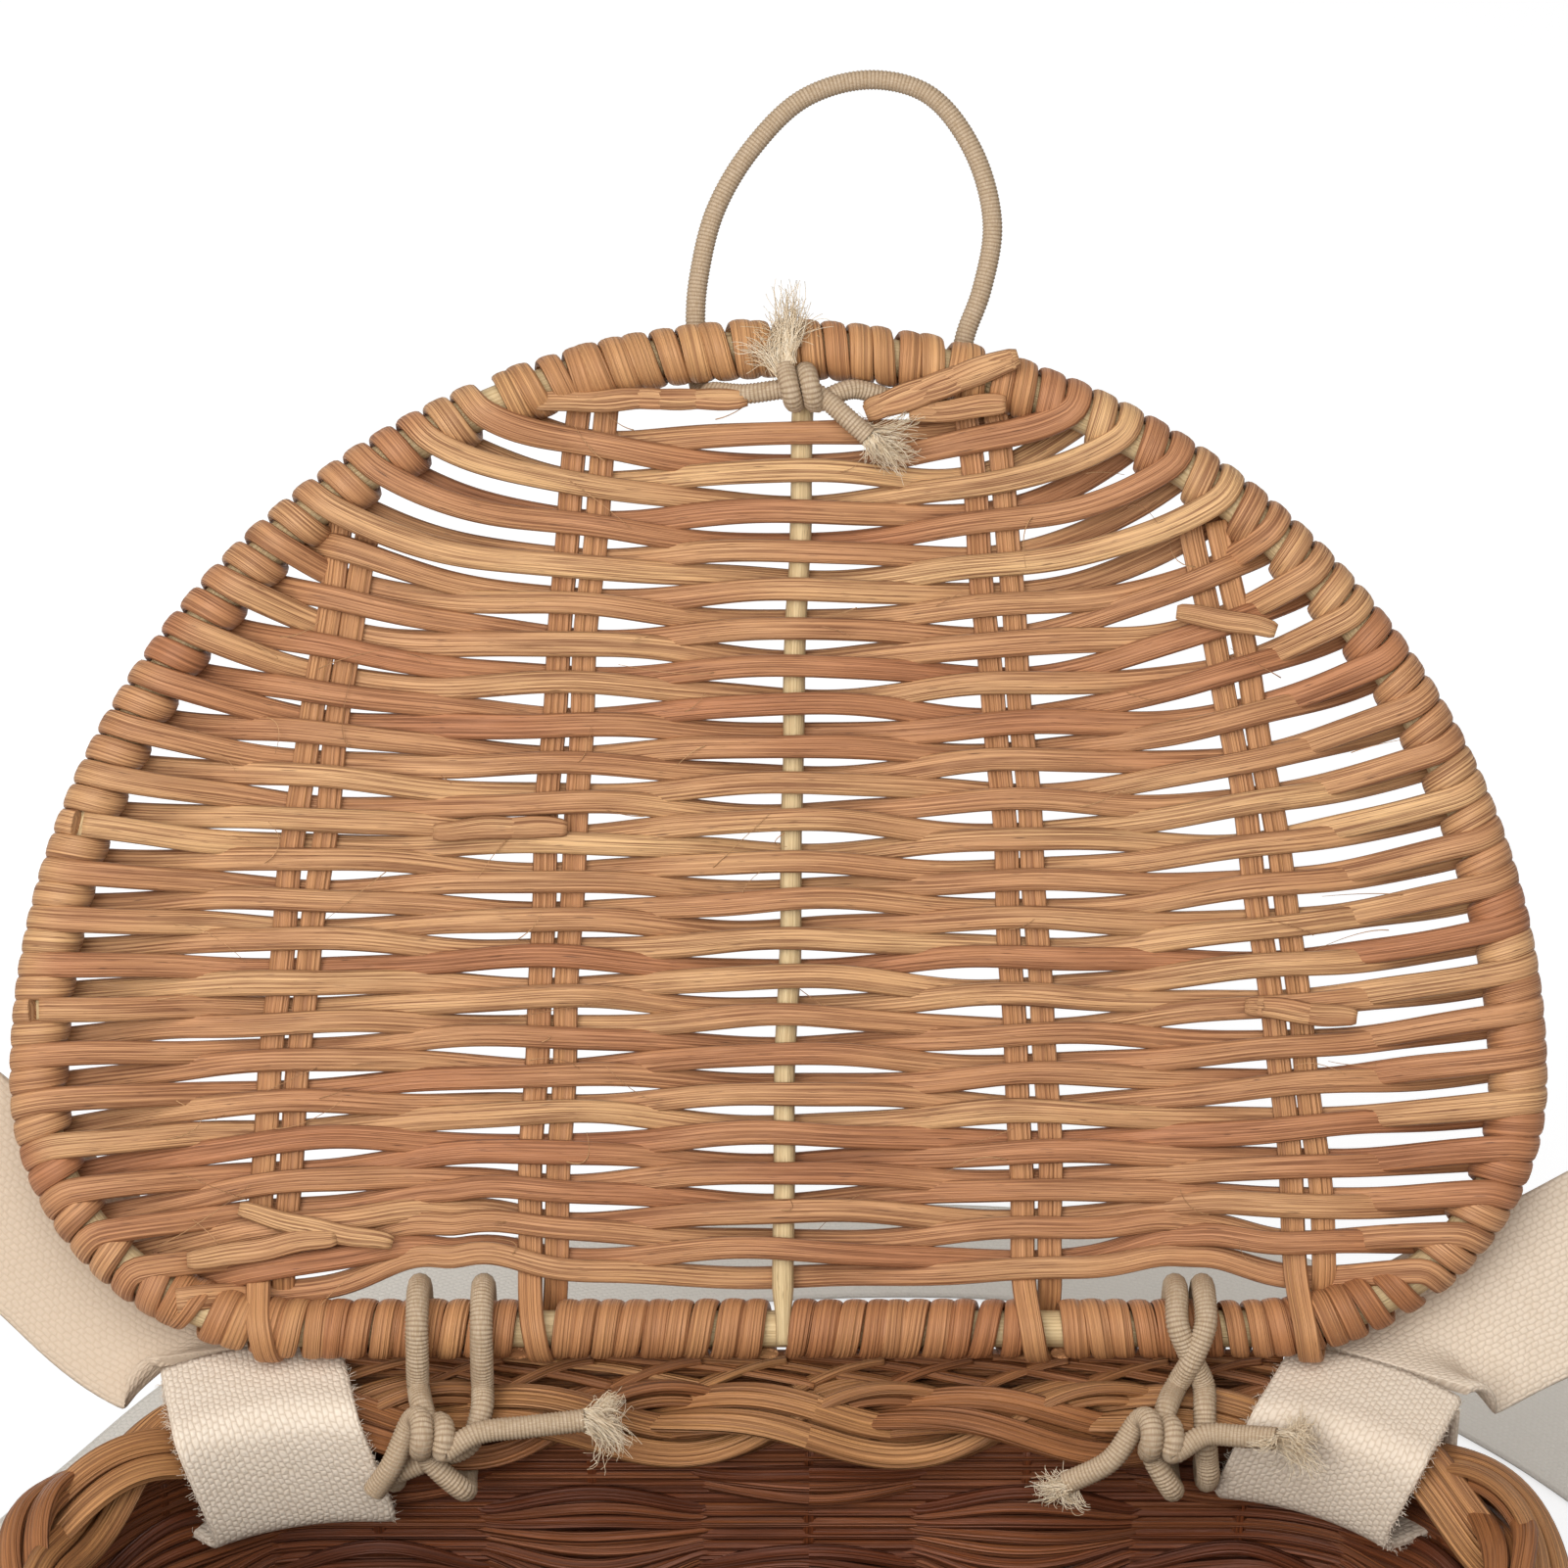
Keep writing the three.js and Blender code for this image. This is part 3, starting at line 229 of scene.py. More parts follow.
class BagLidSettings(bpy.types.PropertyGroup):
    """Sizes of the lid"""

    half_width: length_property("Half width", "Half of the hoop's width", 119.3)
    hinge_half: length_property("Hinge half", "Half of the hoop's straight hinge edge", 75.8)
    corner_depth: length_property("Corner depth", "Depth of the hoop's two back corners", 39.8)
    dome_depth: length_property("Dome depth", "Depth of the hoop's half-elliptical front", 118.3)
    tilt: FloatProperty(name="Tilt", description="Angle of the open lid above level", subtype="ANGLE",
                        default=math.radians(55))
    hoop: length_property("Hoop", "Diameter of the hoop's cane", 6)
    rod: length_property("Rod", "Diameter of the centre rod", 3.5)
    reed_width: length_property("Reed width", "Width of a weaving reed", 3.75)
    reed_thickness: length_property("Reed thickness", "Thickness of a weaving reed", 1.8)
    rows: IntProperty(name="Rows", description="Rows of the weave", default=44)
    first_row: length_property("First row", "Height of the first row above the hinge edge", 8.8)
    last_row: length_property("Last row", "Height of the last row above the hinge edge", 143.4)
    row_shift: length_property("Row shift", "How far a row moves up in front of a stake", 1.05)


class BagBasketSettings(bpy.types.PropertyGroup):
    """Sizes of the basket"""

    half_width: length_property("Half width", "Half of the rim's width", 117)
    hinge_half: length_property("Hinge half", "Half of the rim's straight back", 74)
    corner_depth: length_property("Corner depth", "Depth of the rim's back corners", 39.8)
    dome_depth: length_property("Dome depth", "Depth of the rim's front", 112)
    base_half: length_property("Base half width", "Half of the base's width", 105)
    lift: length_property("Lift", "How far a wall reed passes from the wall's middle at a stake", 2.7)
    reed_height: length_property("Reed height", "Height of one wall reed", 2.6)
    reed_thickness: length_property("Reed thickness", "Thickness of one wall reed", 2.1)


class BagCordSettings(bpy.types.PropertyGroup):
    """Sizes of the webbing and the elastic"""

    webbing_width: length_property("Webbing width", "Width of the strap", 30)
    webbing_thickness: length_property("Webbing thickness", "Thickness of the strap", 1.8)
    elastic: length_property("Elastic", "Diameter of the elastic cord", 3.2)
    tie: length_property("Tie", "Diameter of the hinge ties' elastic, which isn't stretched", 3.7)
    rib: length_property("Rib", "Distance between two ribs of the elastic", 0.62)


class BagFinishSettings(bpy.types.PropertyGroup):
    """Colours"""

    reed_pale: color_property("Pale reed", "Lightest weaving reed of the lid", (225, 180, 127))
    reed_middle: color_property("Middle reed", "Commonest weaving reed of the lid", (208, 158, 110))
    reed_deep: color_property("Deep reed", "Darkest weaving reed of the lid", (182, 122, 82))
    reed_grain: color_property("Reed grain", "Dark grain of the reeds", (112, 66, 38))
    wrap: color_property("Wrap", "Reed wound round the hoop", (216, 164, 110))
    cane: color_property("Cane", "Peeled cane of the hoop and the centre rod", (222, 198, 152))
    # The wall's reed is partly its own reddish brown and partly darkened as painted shade for the basket's
    # shaded inside.
    wall: color_property("Wall", "Reed of the basket's wall", (152, 90, 50))
    rim: color_property("Rim", "Reed of the plaited rim", (200, 146, 93))
    cotton: color_property("Cotton", "Webbing of the strap", (232, 217, 199))
    elastic: color_property("Elastic", "Cover of the elastic cord", (190, 169, 144))
    button: color_property("Button", "Turned wood of the button", (186, 134, 84))


class BagStageSettings(bpy.types.PropertyGroup):
    """Camera and light"""

    distance: length_property("Distance", "From the camera to the lid", 900)
    view_width: length_property("View width", "Width of the view at the lid", 253)
    aim_side: length_property("Aim side", "Place the camera looks at, across the lid", 0.9)
    aim_up: length_property("Aim up", "Place the camera looks at, up the lid", 87.9)
    key: FloatProperty(name="Key", description="Power of the large lamp above", default=15, unit="POWER")
    fill: FloatProperty(name="Fill", description="Power of the lamp by the camera", default=7, unit="POWER")
    sky: FloatProperty(name="Sky", description="Light from all round", default=0.36)


def settings(group):
    """One of the scene's setting groups."""
    return getattr(bpy.context.scene, group)


def lengths(group):
    """The lengths of a setting group, in millimetres."""
    kinds = group.bl_rna.properties
    return {key: getattr(group, key) / MM for key in group.__annotations__ if kinds[key].unit == "LENGTH"}


def unit(vectors):
    """Vectors brought to length 1."""
    return vectors / np.maximum(np.linalg.norm(vectors, axis=-1, keepdims=True), 1e-12)


def arc_lengths(path):
    """Length along a path at each of its points."""
    return np.concatenate(([0], np.cumsum(np.linalg.norm(np.diff(path, axis=0), axis=1))))


def resample(path, step):
    """The path's points again, evenly spaced about step apart."""
    arcs = arc_lengths(path)
    spots = np.linspace(0, arcs[-1], max(2, int(round(arcs[-1] / step)) + 1))
    return np.stack([np.interp(spots, arcs, column) for column in path.T], axis=1)


def curve_through(points, samples=24, extra=None):
    """A cubic curve through points. Each tangent weighs its neighbours by the square roots of their
    distances, and the ends go on straight. Extra values at the points are spread evenly between them."""
    points = np.asarray(points, float)
    padded = np.concatenate((2 * points[:1] - points[1:2], points, 2 * points[-1:] - points[-2:-1]))
    p0, p1, p2, p3 = padded[:-3], padded[1:-2], padded[2:-1], padded[3:]
    d0, d1, d2 = (np.sqrt(np.linalg.norm(b - a, axis=1))[:, None] for a, b in ((p0, p1), (p1, p2), (p2, p3)))
    t1 = ((p1 - p0) / d0 - (p2 - p0) / (d0 + d1) + (p2 - p1) / d1) * d1
    t2 = ((p2 - p1) / d1 - (p3 - p1) / (d1 + d2) + (p3 - p2) / d2) * d1
    share = np.linspace(0, 1, samples, endpoint=False)[None, :, None]
    a, b, s, e = (part[:, None] for part in (p1, p2, t1, t2))
    cubic = a + s * share + (3 * b - 3 * a - 2 * s - e) * share**2 + (2 * a - 2 * b + s + e) * share**3
    path = np.concatenate((cubic.reshape(-1, points.shape[1]), points[-1:]))
    if extra is None:
        return path
    extra = np.asarray(extra, float)
    spread = extra[:-1, None] + (extra[1:] - extra[:-1])[:, None] * share[0, :, 0]
    return np.column_stack((path, np.append(spread.ravel(), extra[-1])))


def carried(path, start):
    """A facing carried along a path without twist: each step drops the part that points along the path."""
    travel = unit(np.gradient(path, axis=0))
    facing = np.empty_like(travel)
    held = start
    for i, step in enumerate(travel):
        held = held - step * (held @ step)
        held = held / np.linalg.norm(held)
        facing[i] = held
    return facing


def smooth(values, times):
    """Draws each value toward its neighbours, in place, this many times. The two ends stay."""
    for _ in range(times):
        values[1:-1] = (values[:-2] + 2 * values[1:-1] + values[2:]) / 4


def oval(width, thickness, count, roundness=2.6):
    """A section between an ellipse and a rectangle: |x/a|^r + |y/b|^r = 1."""
    angle = np.linspace(0, 2 * math.pi, count, endpoint=False)
    x, y = np.cos(angle), np.sin(angle)
    power = 2 / roundness
    return np.stack((np.sign(x) * np.abs(x) ** power * width / 2,
                     np.sign(y) * np.abs(y) ** power * thickness / 2), axis=1)


def flat_section(width, thickness, count=15):
    """A strip's section with softly rounded edges."""
    across = np.linspace(1, -1, count) * (width / 2 - thickness * 0.3)
    top = np.stack((across, np.full(count, thickness / 2)), axis=1)
    edge = np.array(((-width / 2, thickness * 0.25), (-width / 2, -thickness * 0.25)))
    return np.concatenate((top, edge, -top, -edge))


def waver(rng, arcs, size, wave):
    """A smooth wander along a reed: three sines of unrelated lengths near the wave, with random phases."""
    waves = wave * np.array((1, 0.57, 1.83))
    phases = rng.uniform(0, 2 * math.pi, 3)
    return size / 2 * np.sin(2 * math.pi * arcs[:, None] / waves + phases).sum(axis=1)


def wander(rng, turn, size, waves):
    """A smooth wander along a closed reed: sines that fit so many times into one turn, with random phases."""
    return sum(rng.normal(0, size) * np.sin(wave * turn + rng.uniform(0, 6.3)) for wave in waves)


class Strips:
    """Swept strips gathered into one mesh, with UVs in metres along and round each strip, a tint for each
    and an edge value that is 1 at the sides of its section."""

    def __init__(self):
        self.points, self.quads, self.caps = [], [], []
        self.uvs, self.cap_uvs, self.tints, self.edges = [], [], [], []
        self.total = 0

    def add(self, path, facing, section, tint, closed=False, grow=None, across=None):
        """Carries a section along a path. Across is square to the facing and the travel unless given."""
        ahead = np.roll(path, -1, axis=0) - np.roll(path, 1, axis=0) if closed else np.gradient(path, axis=0)
        travel = unit(ahead)
        facing = unit(facing - travel * (facing * travel).sum(axis=1, keepdims=True))
        across = np.cross(facing, travel) if across is None else across
        shape = np.broadcast_to(section, (len(path), *section.shape))
        if grow is not None:
            shape = shape * (grow[:, None, None] if grow.ndim == 1 else grow[..., None])
        rings = path[:, None] + shape[..., :1] * across[:, None] + shape[..., 1:] * facing[:, None]
        arcs = arc_lengths(np.concatenate((path, path[:1])) if closed else path)
        around = arc_lengths(np.concatenate((section, section[:1])))
        edge = np.abs(section[:, 0]) / np.abs(section[:, 0]).max()
        return self.add_rings(rings, arcs, around, tint, edge, closed)

    def add_rings(self, rings, arcs, around, tint, edge, closed=False):
        """Joins rings of points with quads, and closes the two ends unless the strip meets itself."""
        count, sides = rings.shape[:2]
        here = np.arange(count if closed else count - 1)[:, None] * sides
        ahead = (here + sides) % (count * sides)
        side = np.arange(sides)[None]
        beside = (side + 1) % sides
        quads = np.stack((here + side, here + beside, ahead + beside, ahead + side), axis=-1)
        around = around + GRAIN_SHIFT * np.mean(tint)
        lengthwise = np.stack((arcs[:-1], arcs[:-1], arcs[1:], arcs[1:]), axis=-1)[:, None]
        crosswise = np.stack((around[:-1], around[1:], around[1:], around[:-1]), axis=-1)[None]
        uv = np.stack(np.broadcast_arrays(lengthwise, crosswise), axis=-1)
        self.points.append(rings.reshape(-1, 3))
        self.quads.append(quads.reshape(-1, 4) + self.total)
        self.uvs.append(uv.reshape(-1, 2))
        self.tints.append(np.repeat(np.broadcast_to(tint, count), sides))
        self.edges.append(np.tile(edge, count))
        if not closed:
            first = np.arange(sides)
            self.caps.append(self.total + first[::-1])
            self.caps.append(self.total + (count - 1) * sides + first)
            cap_uv = np.stack((np.zeros(sides), around[:-1]), axis=1)
            self.cap_uvs += [cap_uv[::-1], cap_uv + (arcs[-1], 0)]
        self.total += count * sides
        return self

    def build(self, name, material, body, node):
        """Lays the strips into a mesh object that rides a body and takes the place of a CAD node."""
        mesh = bpy.data.meshes.new(name)
        points = np.concatenate(self.points) * MM
        quads = np.concatenate(self.quads)
        corners = np.concatenate([quads.ravel(), *self.caps])
        sizes = np.array([4] * len(quads) + [len(cap) for cap in self.caps])
        mesh.vertices.add(len(points))
        mesh.vertices.foreach_set("co", points.astype(np.float32).ravel())
        mesh.loops.add(len(corners))
        mesh.loops.foreach_set("vertex_index", corners.astype(np.int32))
        mesh.polygons.add(len(sizes))
        mesh.polygons.foreach_set("loop_start", np.append(0, np.cumsum(sizes)[:-1]).astype(np.int32))
        mesh.polygons.foreach_set("use_smooth", np.arange(len(sizes)) < len(quads))
        uvs = np.concatenate([*self.uvs, *self.cap_uvs]) * MM
        mesh.uv_layers.new(name="UVMap").data.foreach_set("uv", uvs.astype(np.float32).ravel())
        for label, values in (("tint", self.tints), ("edge", self.edges)):
            layer = mesh.attributes.new(label, "FLOAT", "POINT")
            layer.data.foreach_set("value", np.concatenate(values).astype(np.float32))
        mesh.materials.append(look(material))
        mesh.update(calc_edges=True)
        piece = bpy.data.objects.new(name, mesh)
        bpy.context.scene.collection.objects.link(piece)
        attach(piece, body)
        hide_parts(node)
        return piece


class BentOutline:
    """A straight edge, two elliptical corners and a half-elliptical dome, by arc length from the edge's
    middle."""

    def __init__(self, half_width, hinge_half, corner_depth, dome_depth):
        turn = np.linspace(0, math.pi / 2, 400)
        edge = np.linspace(0, hinge_half, 80)[:-1]
        x = np.concatenate((edge, hinge_half + (half_width - hinge_half) * np.sin(turn[:-1]),
                            half_width * np.cos(turn)))
        y = np.concatenate((0 * edge, corner_depth * (1 - np.cos(turn[:-1])),
                            corner_depth + dome_depth * np.sin(turn)))
        right = np.stack((x, y), axis=1)
        self.points = np.concatenate((right, right[-2::-1] * (-1, 1)))
        self.arcs = arc_lengths(self.points)
        self.length = self.arcs[-1]
        self.travel = unit(np.gradient(self.points, self.arcs, axis=0))

    def round(self, count):
        """Arc lengths of this many places, evenly spaced round the outline."""
        return np.linspace(0, self.length, count, endpoint=False)

    def at(self, arc):
        """Points, directions along and outward normals at these arc lengths, taken round and round."""
        spot = np.mod(arc, self.length)
        point = np.stack([np.interp(spot, self.arcs, column) for column in self.points.T], axis=-1)
        along = unit(np.stack([np.interp(spot, self.arcs, column) for column in self.travel.T], axis=-1))
        return point, along, np.stack((along[..., 1], -along[..., 0]), axis=-1)


def lift(flat, depth):
    """Points of a plane with a third coordinate added."""
    third = np.broadcast_to(np.asarray(depth)[..., None], (*flat.shape[:-1], 1))
    return np.concatenate((flat, third), axis=-1)


class Lid:
    """The lid's hoop, stakes and rows, in lid coordinates."""

    def __init__(self):
        sizes = settings("bag_lid")
        self.__dict__.update(lengths(sizes))
        self.rows = sizes.rows
        self.outline = BentOutline(self.half_width, self.hinge_half, self.corner_depth, self.dome_depth)
        self.height = self.corner_depth + self.dome_depth
        self.wrap = self.hoop / 2 + self.reed_thickness / 2 + 0.1
        cos, sin = math.cos(sizes.tilt), math.sin(sizes.tilt)
        self.axes = np.array(((1, 0, 0), (0, cos, sin), (0, -sin, cos)))

    def world(self, local):
        """Lid coordinates turned into the bag's frame."""
        return HINGE + np.asarray(local, float) @ self.axes

    def turn(self, directions):
        """Directions of the lid turned into the bag's frame."""
        return np.asarray(directions, float) @ self.axes

    def dome(self, x):
        """Height of the hoop's front above the hinge edge."""
        return self.corner_depth + self.dome_depth * np.sqrt(1 - (x / self.half_width) ** 2)

    def stake_across(self, stake, height):
        """Where a stake stands across the lid at a height: its lean grows with the height to a power."""
        edge, lean = stake
        return edge + lean * np.maximum(0, height / self.height) ** STAKE_BOW

    def stake_top(self, stake, gap):
        """Height at which a stake comes as near as gap to the hoop, found by stepping to it."""
        height = self.height
        for _ in range(8):
            x = self.stake_across(stake, height)
            share = x / self.half_width
            rise = share / math.sqrt(1 - share**2) * self.dome_depth / self.half_width
            height = self.dome(x) - gap * math.hypot(1, rise)
        return height

    def round_hoop(self, arc, angle, radius):
        """Points round the hoop and their facing: angle 0 is outward, a quarter turn is the inner face."""
        point, _, out = self.outline.at(arc)
        facing = lift(out * np.cos(angle)[:, None], np.sin(angle))
        return lift(point, 0.0) + facing * np.broadcast_to(radius, len(arc))[:, None], facing

    def row_arcs(self, row):
        """Arc lengths of a row's two ends. Rows share the hoop's side in pairs, closer at the widest part.
        Odd rows stand a quarter of the way to the next pair on the left and three quarters on the right."""
        pair, odd = divmod(row, 2)
        ends = []
        turn = 2 * math.pi
        for first, share in ROW_STARTS:
            place = (pair + odd * share) / (self.rows / 2)
            bunch = ROW_BUNCH / turn * (math.sin(turn * (place - 0.3)) + math.sin(turn * 0.3))
            ends.append(first + (self.outline.length / 2 - FRONT_STOP - first) * (place - bunch))
        return ends

    def row_height(self, row, x, ends):
        """Height of a row: level in the middle, bending to its place on the hoop with a power of x."""
        middle = self.first_row + (self.last_row - self.first_row) * row / (self.rows - 1)
        end = np.where(np.asarray(x)[..., None] < 0, ends[0], ends[1])
        return middle + (end[..., 1] - middle) * np.abs(x / end[..., 0]) ** ROW_BEND

    def row_path(self, row, rng):
        """A row from left to right. It passes the stakes on alternate sides, eased by cosines between them,
        and moves up in front of a stake and down behind it, so gaps open beside the stakes."""
        side = 1 if row % 2 == 0 else -1
        left, right = self.row_arcs(row)
        ends = np.stack((self.outline.at(-left)[0], self.outline.at(right)[0]))
        places, depths, shifts = [ends[0, 0]], [side * self.wrap], [0]
        for order, stake in enumerate(STAKES):
            x = stake[0]
            for _ in range(4):
                x = self.stake_across(stake, self.row_height(row, x, ends))
            room = min(x - ends[0, 0], ends[1, 0] - x)
            reach = self.stake_top(stake, 5.5) > self.row_height(row, x, ends) - 1
            if room < ROW_END_ROOM or not (reach or order == CENTER):
                continue
            facing = side * (-1 if order % 2 == 0 else 1)
            half = self.rod / 2 if order == CENTER else 0.8
            places.append(x)
            depths.append(facing * (half + self.reed_thickness / 2))
            shifts.append(facing * self.row_shift)
        places, depths, shifts = (np.array(part) for part in (
            places + [ends[1, 0]], depths + [side * self.wrap], shifts + [0]))
        x = np.linspace(places[0], places[-1], int((places[-1] - places[0]) / 1.25))
        spot = np.clip(np.searchsorted(places, x) - 1, 0, len(places) - 2)
        eased = 0.5 - 0.5 * np.cos(math.pi * (x - places[spot]) / (places[spot + 1] - places[spot]))
        depth = depths[spot] + (depths[spot + 1] - depths[spot]) * eased
        shift = shifts[spot] + (shifts[spot + 1] - shifts[spot]) * eased
        fade = np.clip(np.minimum(x - x[0], x[-1] - x) / 25, 0, 1)
        height = self.row_height(row, x, ends) + shift + fade * waver(rng, x, 0.42, 58)
        if row < LIFTED_ROWS:
            near = np.exp(-((x[:, None] - np.array(TIE_SPOTS)) / TIE_LIFT_WIDTH) ** 2).max(axis=1)
            height = height + (TIE_LIFT - TIE_LIFT_FALL * row) * near
        depth = depth + fade * waver(rng, x, 0.2, 45)
        return np.stack((x, height, depth), axis=1), np.tile((0.0, 0.0, side), (len(x), 1))

    def wrap_path(self, row):
        """One and a half turns round the hoop from a row's end to the start of the next row."""
        steps = np.linspace(0, 1, 32)[1:-1]
        now, after = self.row_arcs(row), self.row_arcs(row + 1)
        end, side = (1, 1) if row % 2 == 0 else (0, -1)
        arcs = side * (now[end] + (after[end] - now[end]) * steps)
        return self.round_hoop(arcs, side * math.pi * (0.5 - 3 * steps), self.wrap)


class Basket:
    """The rim's outline and the wall that flares up to it, in the bag's frame."""

    def __init__(self):
        self.__dict__.update(lengths(settings("bag_basket")))
        self.outline = BentOutline(self.half_width, self.hinge_half, self.corner_depth, self.dome_depth)
        self.spacing = self.outline.length / STAKE_COUNT

    def rim(self, arc):
        """Points on the rim's middle line at height 0, directions along it and outward."""
        point, along, out = self.outline.at(np.asarray(arc, float) + PATTERN_SHIFT)
        return tuple(lift(part, 0.0) for part in (
            point * (1, -1) + (0, RIM_BACK), along * (1, -1), out * (1, -1)))

    def wall(self, arc, offset, height):
        """Points of the wall: the rim's outline drawn in toward the base by a power of the way down."""
        at, _, out = self.rim(arc)
        below = np.maximum(0, 1 - np.asarray(height) / WALL_TOP)
        scale = 1 - (1 - self.base_half / self.half_width) * below**WALL_FLARE
        scale, offset = (np.broadcast_to(part, len(at))[:, None] for part in (scale, offset))
        spots = at * scale + out * offset
        spots[:, 2] += height
        return spots, out


class Graph:
    """Adds nodes to a node tree."""

    def __init__(self, tree):
        self.tree = tree

    def feed(self, node, inputs):
        """Feeds a node's inputs, each with a value or another node's output."""
        for key, value in inputs.items():
            if isinstance(value, bpy.types.NodeSocket):
                self.tree.links.new(value, node.inputs[key])
            else:
                node.inputs[key].default_value = value

    def node(self, kind, inputs=None, **options):
        """A new node with its options set and its inputs fed."""
        node = self.tree.nodes.new(kind)
        for key, value in options.items():
            setattr(node, key, value)
        self.feed(node, inputs or {})
        return node

    def math(self, operation, first, second=0.0):
        """A calculation with one or two values."""
        return self.node("ShaderNodeMath", {0: first, 1: second}, operation=operation).outputs[0]

    def times(self, first, second):
        """The product of two values."""
        return self.math("MULTIPLY", first, second)

    def mix(self, share, first, second):
        """Two colours mixed by a share."""
        first, second = ((*color, 1.0) if isinstance(color, tuple) else color for color in (first, second))
        return self.node("ShaderNodeMix", {0: share, 6: first, 7: second}, data_type="RGBA").outputs[2]

    def spread(self, value, low, high, to_low=0.0, to_high=1.0):
        """A value's range stretched to another one, and kept in it."""
        return self.node("ShaderNodeMapRange", {0: value, 1: low, 2: high, 3: to_low, 4: to_high}).outputs[0]

    def noise(self, along, around, third, along_scale, around_scale, detail=2.0):
        """Noise over a strip, stretched along or round it."""
        vector = self.node("ShaderNodeCombineXYZ", {
            0: self.times(along, along_scale), 1: self.times(around, around_scale), 2: third})
        node = self.node("ShaderNodeTexNoise", {"Vector": vector.outputs[0], "Scale": 1.0, "Detail": detail})
        return node.outputs[0]

    def strip(self):
        """Metres along and round a strip, its tint and its edge value."""
        uv = self.node("ShaderNodeUVMap", uv_map="UVMap")
        parts = self.node("ShaderNodeSeparateXYZ", {0: uv.outputs[0]})
        tint = self.node("ShaderNodeAttribute", attribute_name="tint").outputs["Fac"]
        edge = self.node("ShaderNodeAttribute", attribute_name="edge").outputs["Fac"]
        return parts.outputs[0], parts.outputs[1], tint, edge

    def pattern(self, name, make, along, around):
        """The outputs of a pattern's node group, which is made the first time."""
        tree = bpy.data.node_groups.get(name) or make(name)
        return self.node("ShaderNodeGroup", {"Along": along, "Around": around}, node_tree=tree).outputs

    def surface(self, shader, base, roughness, specular, height, strength, distance):
        """Feeds a shader its colour, roughness and gloss, and the bumps of a height."""
        bump = self.node("ShaderNodeBump", {"Height": height, "Strength": strength, "Distance": distance})
        self.feed(shader, {"Base Color": base, "Roughness": roughness, "Specular IOR Level": specular,
                           "Normal": bump.outputs[0]})


def new_pattern(name, outputs):
    """A node group fed with metres along and round a strip: its graph, both inputs and its output node."""
    group = bpy.data.node_groups.new(name, "ShaderNodeTree")
    for way, labels in (("INPUT", ("Along", "Around")), ("OUTPUT", outputs)):
        for label in labels:
            group.interface.new_socket(label, in_out=way, socket_type="NodeSocketFloat")
    graph = Graph(group)
    fed = graph.node("NodeGroupInput").outputs
    return graph, fed["Along"], fed["Around"], graph.node("NodeGroupOutput")


def make_grain(name):
    """Reed grain: long streaks and finer fibres along the strip, worn here and there, broad patches, and
    short dark flecks."""
    graph, along, around, out = new_pattern(name, ("Streak", "Patch", "Fleck", "Ridge", "Height"))
    streak = graph.noise(along, around, 0.0, 22.0, 3300.0)
    fibre = graph.noise(along, around, 9.0, 60.0, 8600.0)
    patch = graph.noise(along, around, 17.0, 22.0, 150.0)
    fleck = graph.noise(along, around, 29.0, 240.0, 4200.0, 1.0)
    worn = graph.spread(graph.noise(along, around, 53.0, 70.0, 420.0), 0.34, 0.56, 0.6, 1.0)
    ridge = graph.noise(along, around, 41.0, 7.0, 1700.0, 1.0)
    lines = graph.math("ADD", graph.times(streak, 0.54), graph.times(fibre, 0.46))
    graph.feed(out, {
        "Streak": graph.times(graph.spread(lines, 0.43, 0.57), worn),
        "Patch": graph.spread(patch, 0.42, 0.72),
        "Fleck": graph.spread(fleck, 0.66, 0.78),
        "Ridge": graph.spread(ridge, 0.35, 0.65),
        "Height": graph.math("SUBTRACT", 1.0, lines),
    })
    return graph.tree


def make_weave(name):
    """Plain weave: rows of bumps, each row half a bump on from the last, from sines of both directions that
    noise pushes a little off their places."""
    graph, along, around, out = new_pattern(name, ("Thread", "Height"))
    uneven = graph.noise(along, around, 5.0, 420.0, 420.0, 1.0)
    aside = graph.noise(along, around, 11.0, 520.0, 520.0, 1.0)
    row = graph.math("ADD", graph.times(around, 1 / WEAVE_ROW), uneven)
    step = graph.times(graph.math("FLOOR", row), 0.5)
    bump = graph.math("ADD", graph.times(along, 1 / WEAVE_BUMP), graph.math("ADD", step, aside))
    across, lengthwise = (graph.math("ABSOLUTE", graph.math("SINE", graph.times(part, math.pi)))
                          for part in (row, bump))
    thread = graph.times(graph.math("POWER", across, 0.6), graph.math("POWER", lengthwise, 0.55))
    fuzz = graph.noise(along, around, 0.0, 2600.0, 2600.0, 3.0)
    graph.feed(out, {"Thread": thread, "Height": graph.math("ADD", thread, graph.times(fuzz, 0.9))})
    return graph.tree


def new_material(name):
    """A material with only a principled shader, and its graph."""
    material = bpy.data.materials.new(name)
    material.use_nodes = True
    return material, Graph(material.node_tree), material.node_tree.nodes["Principled BSDF"]


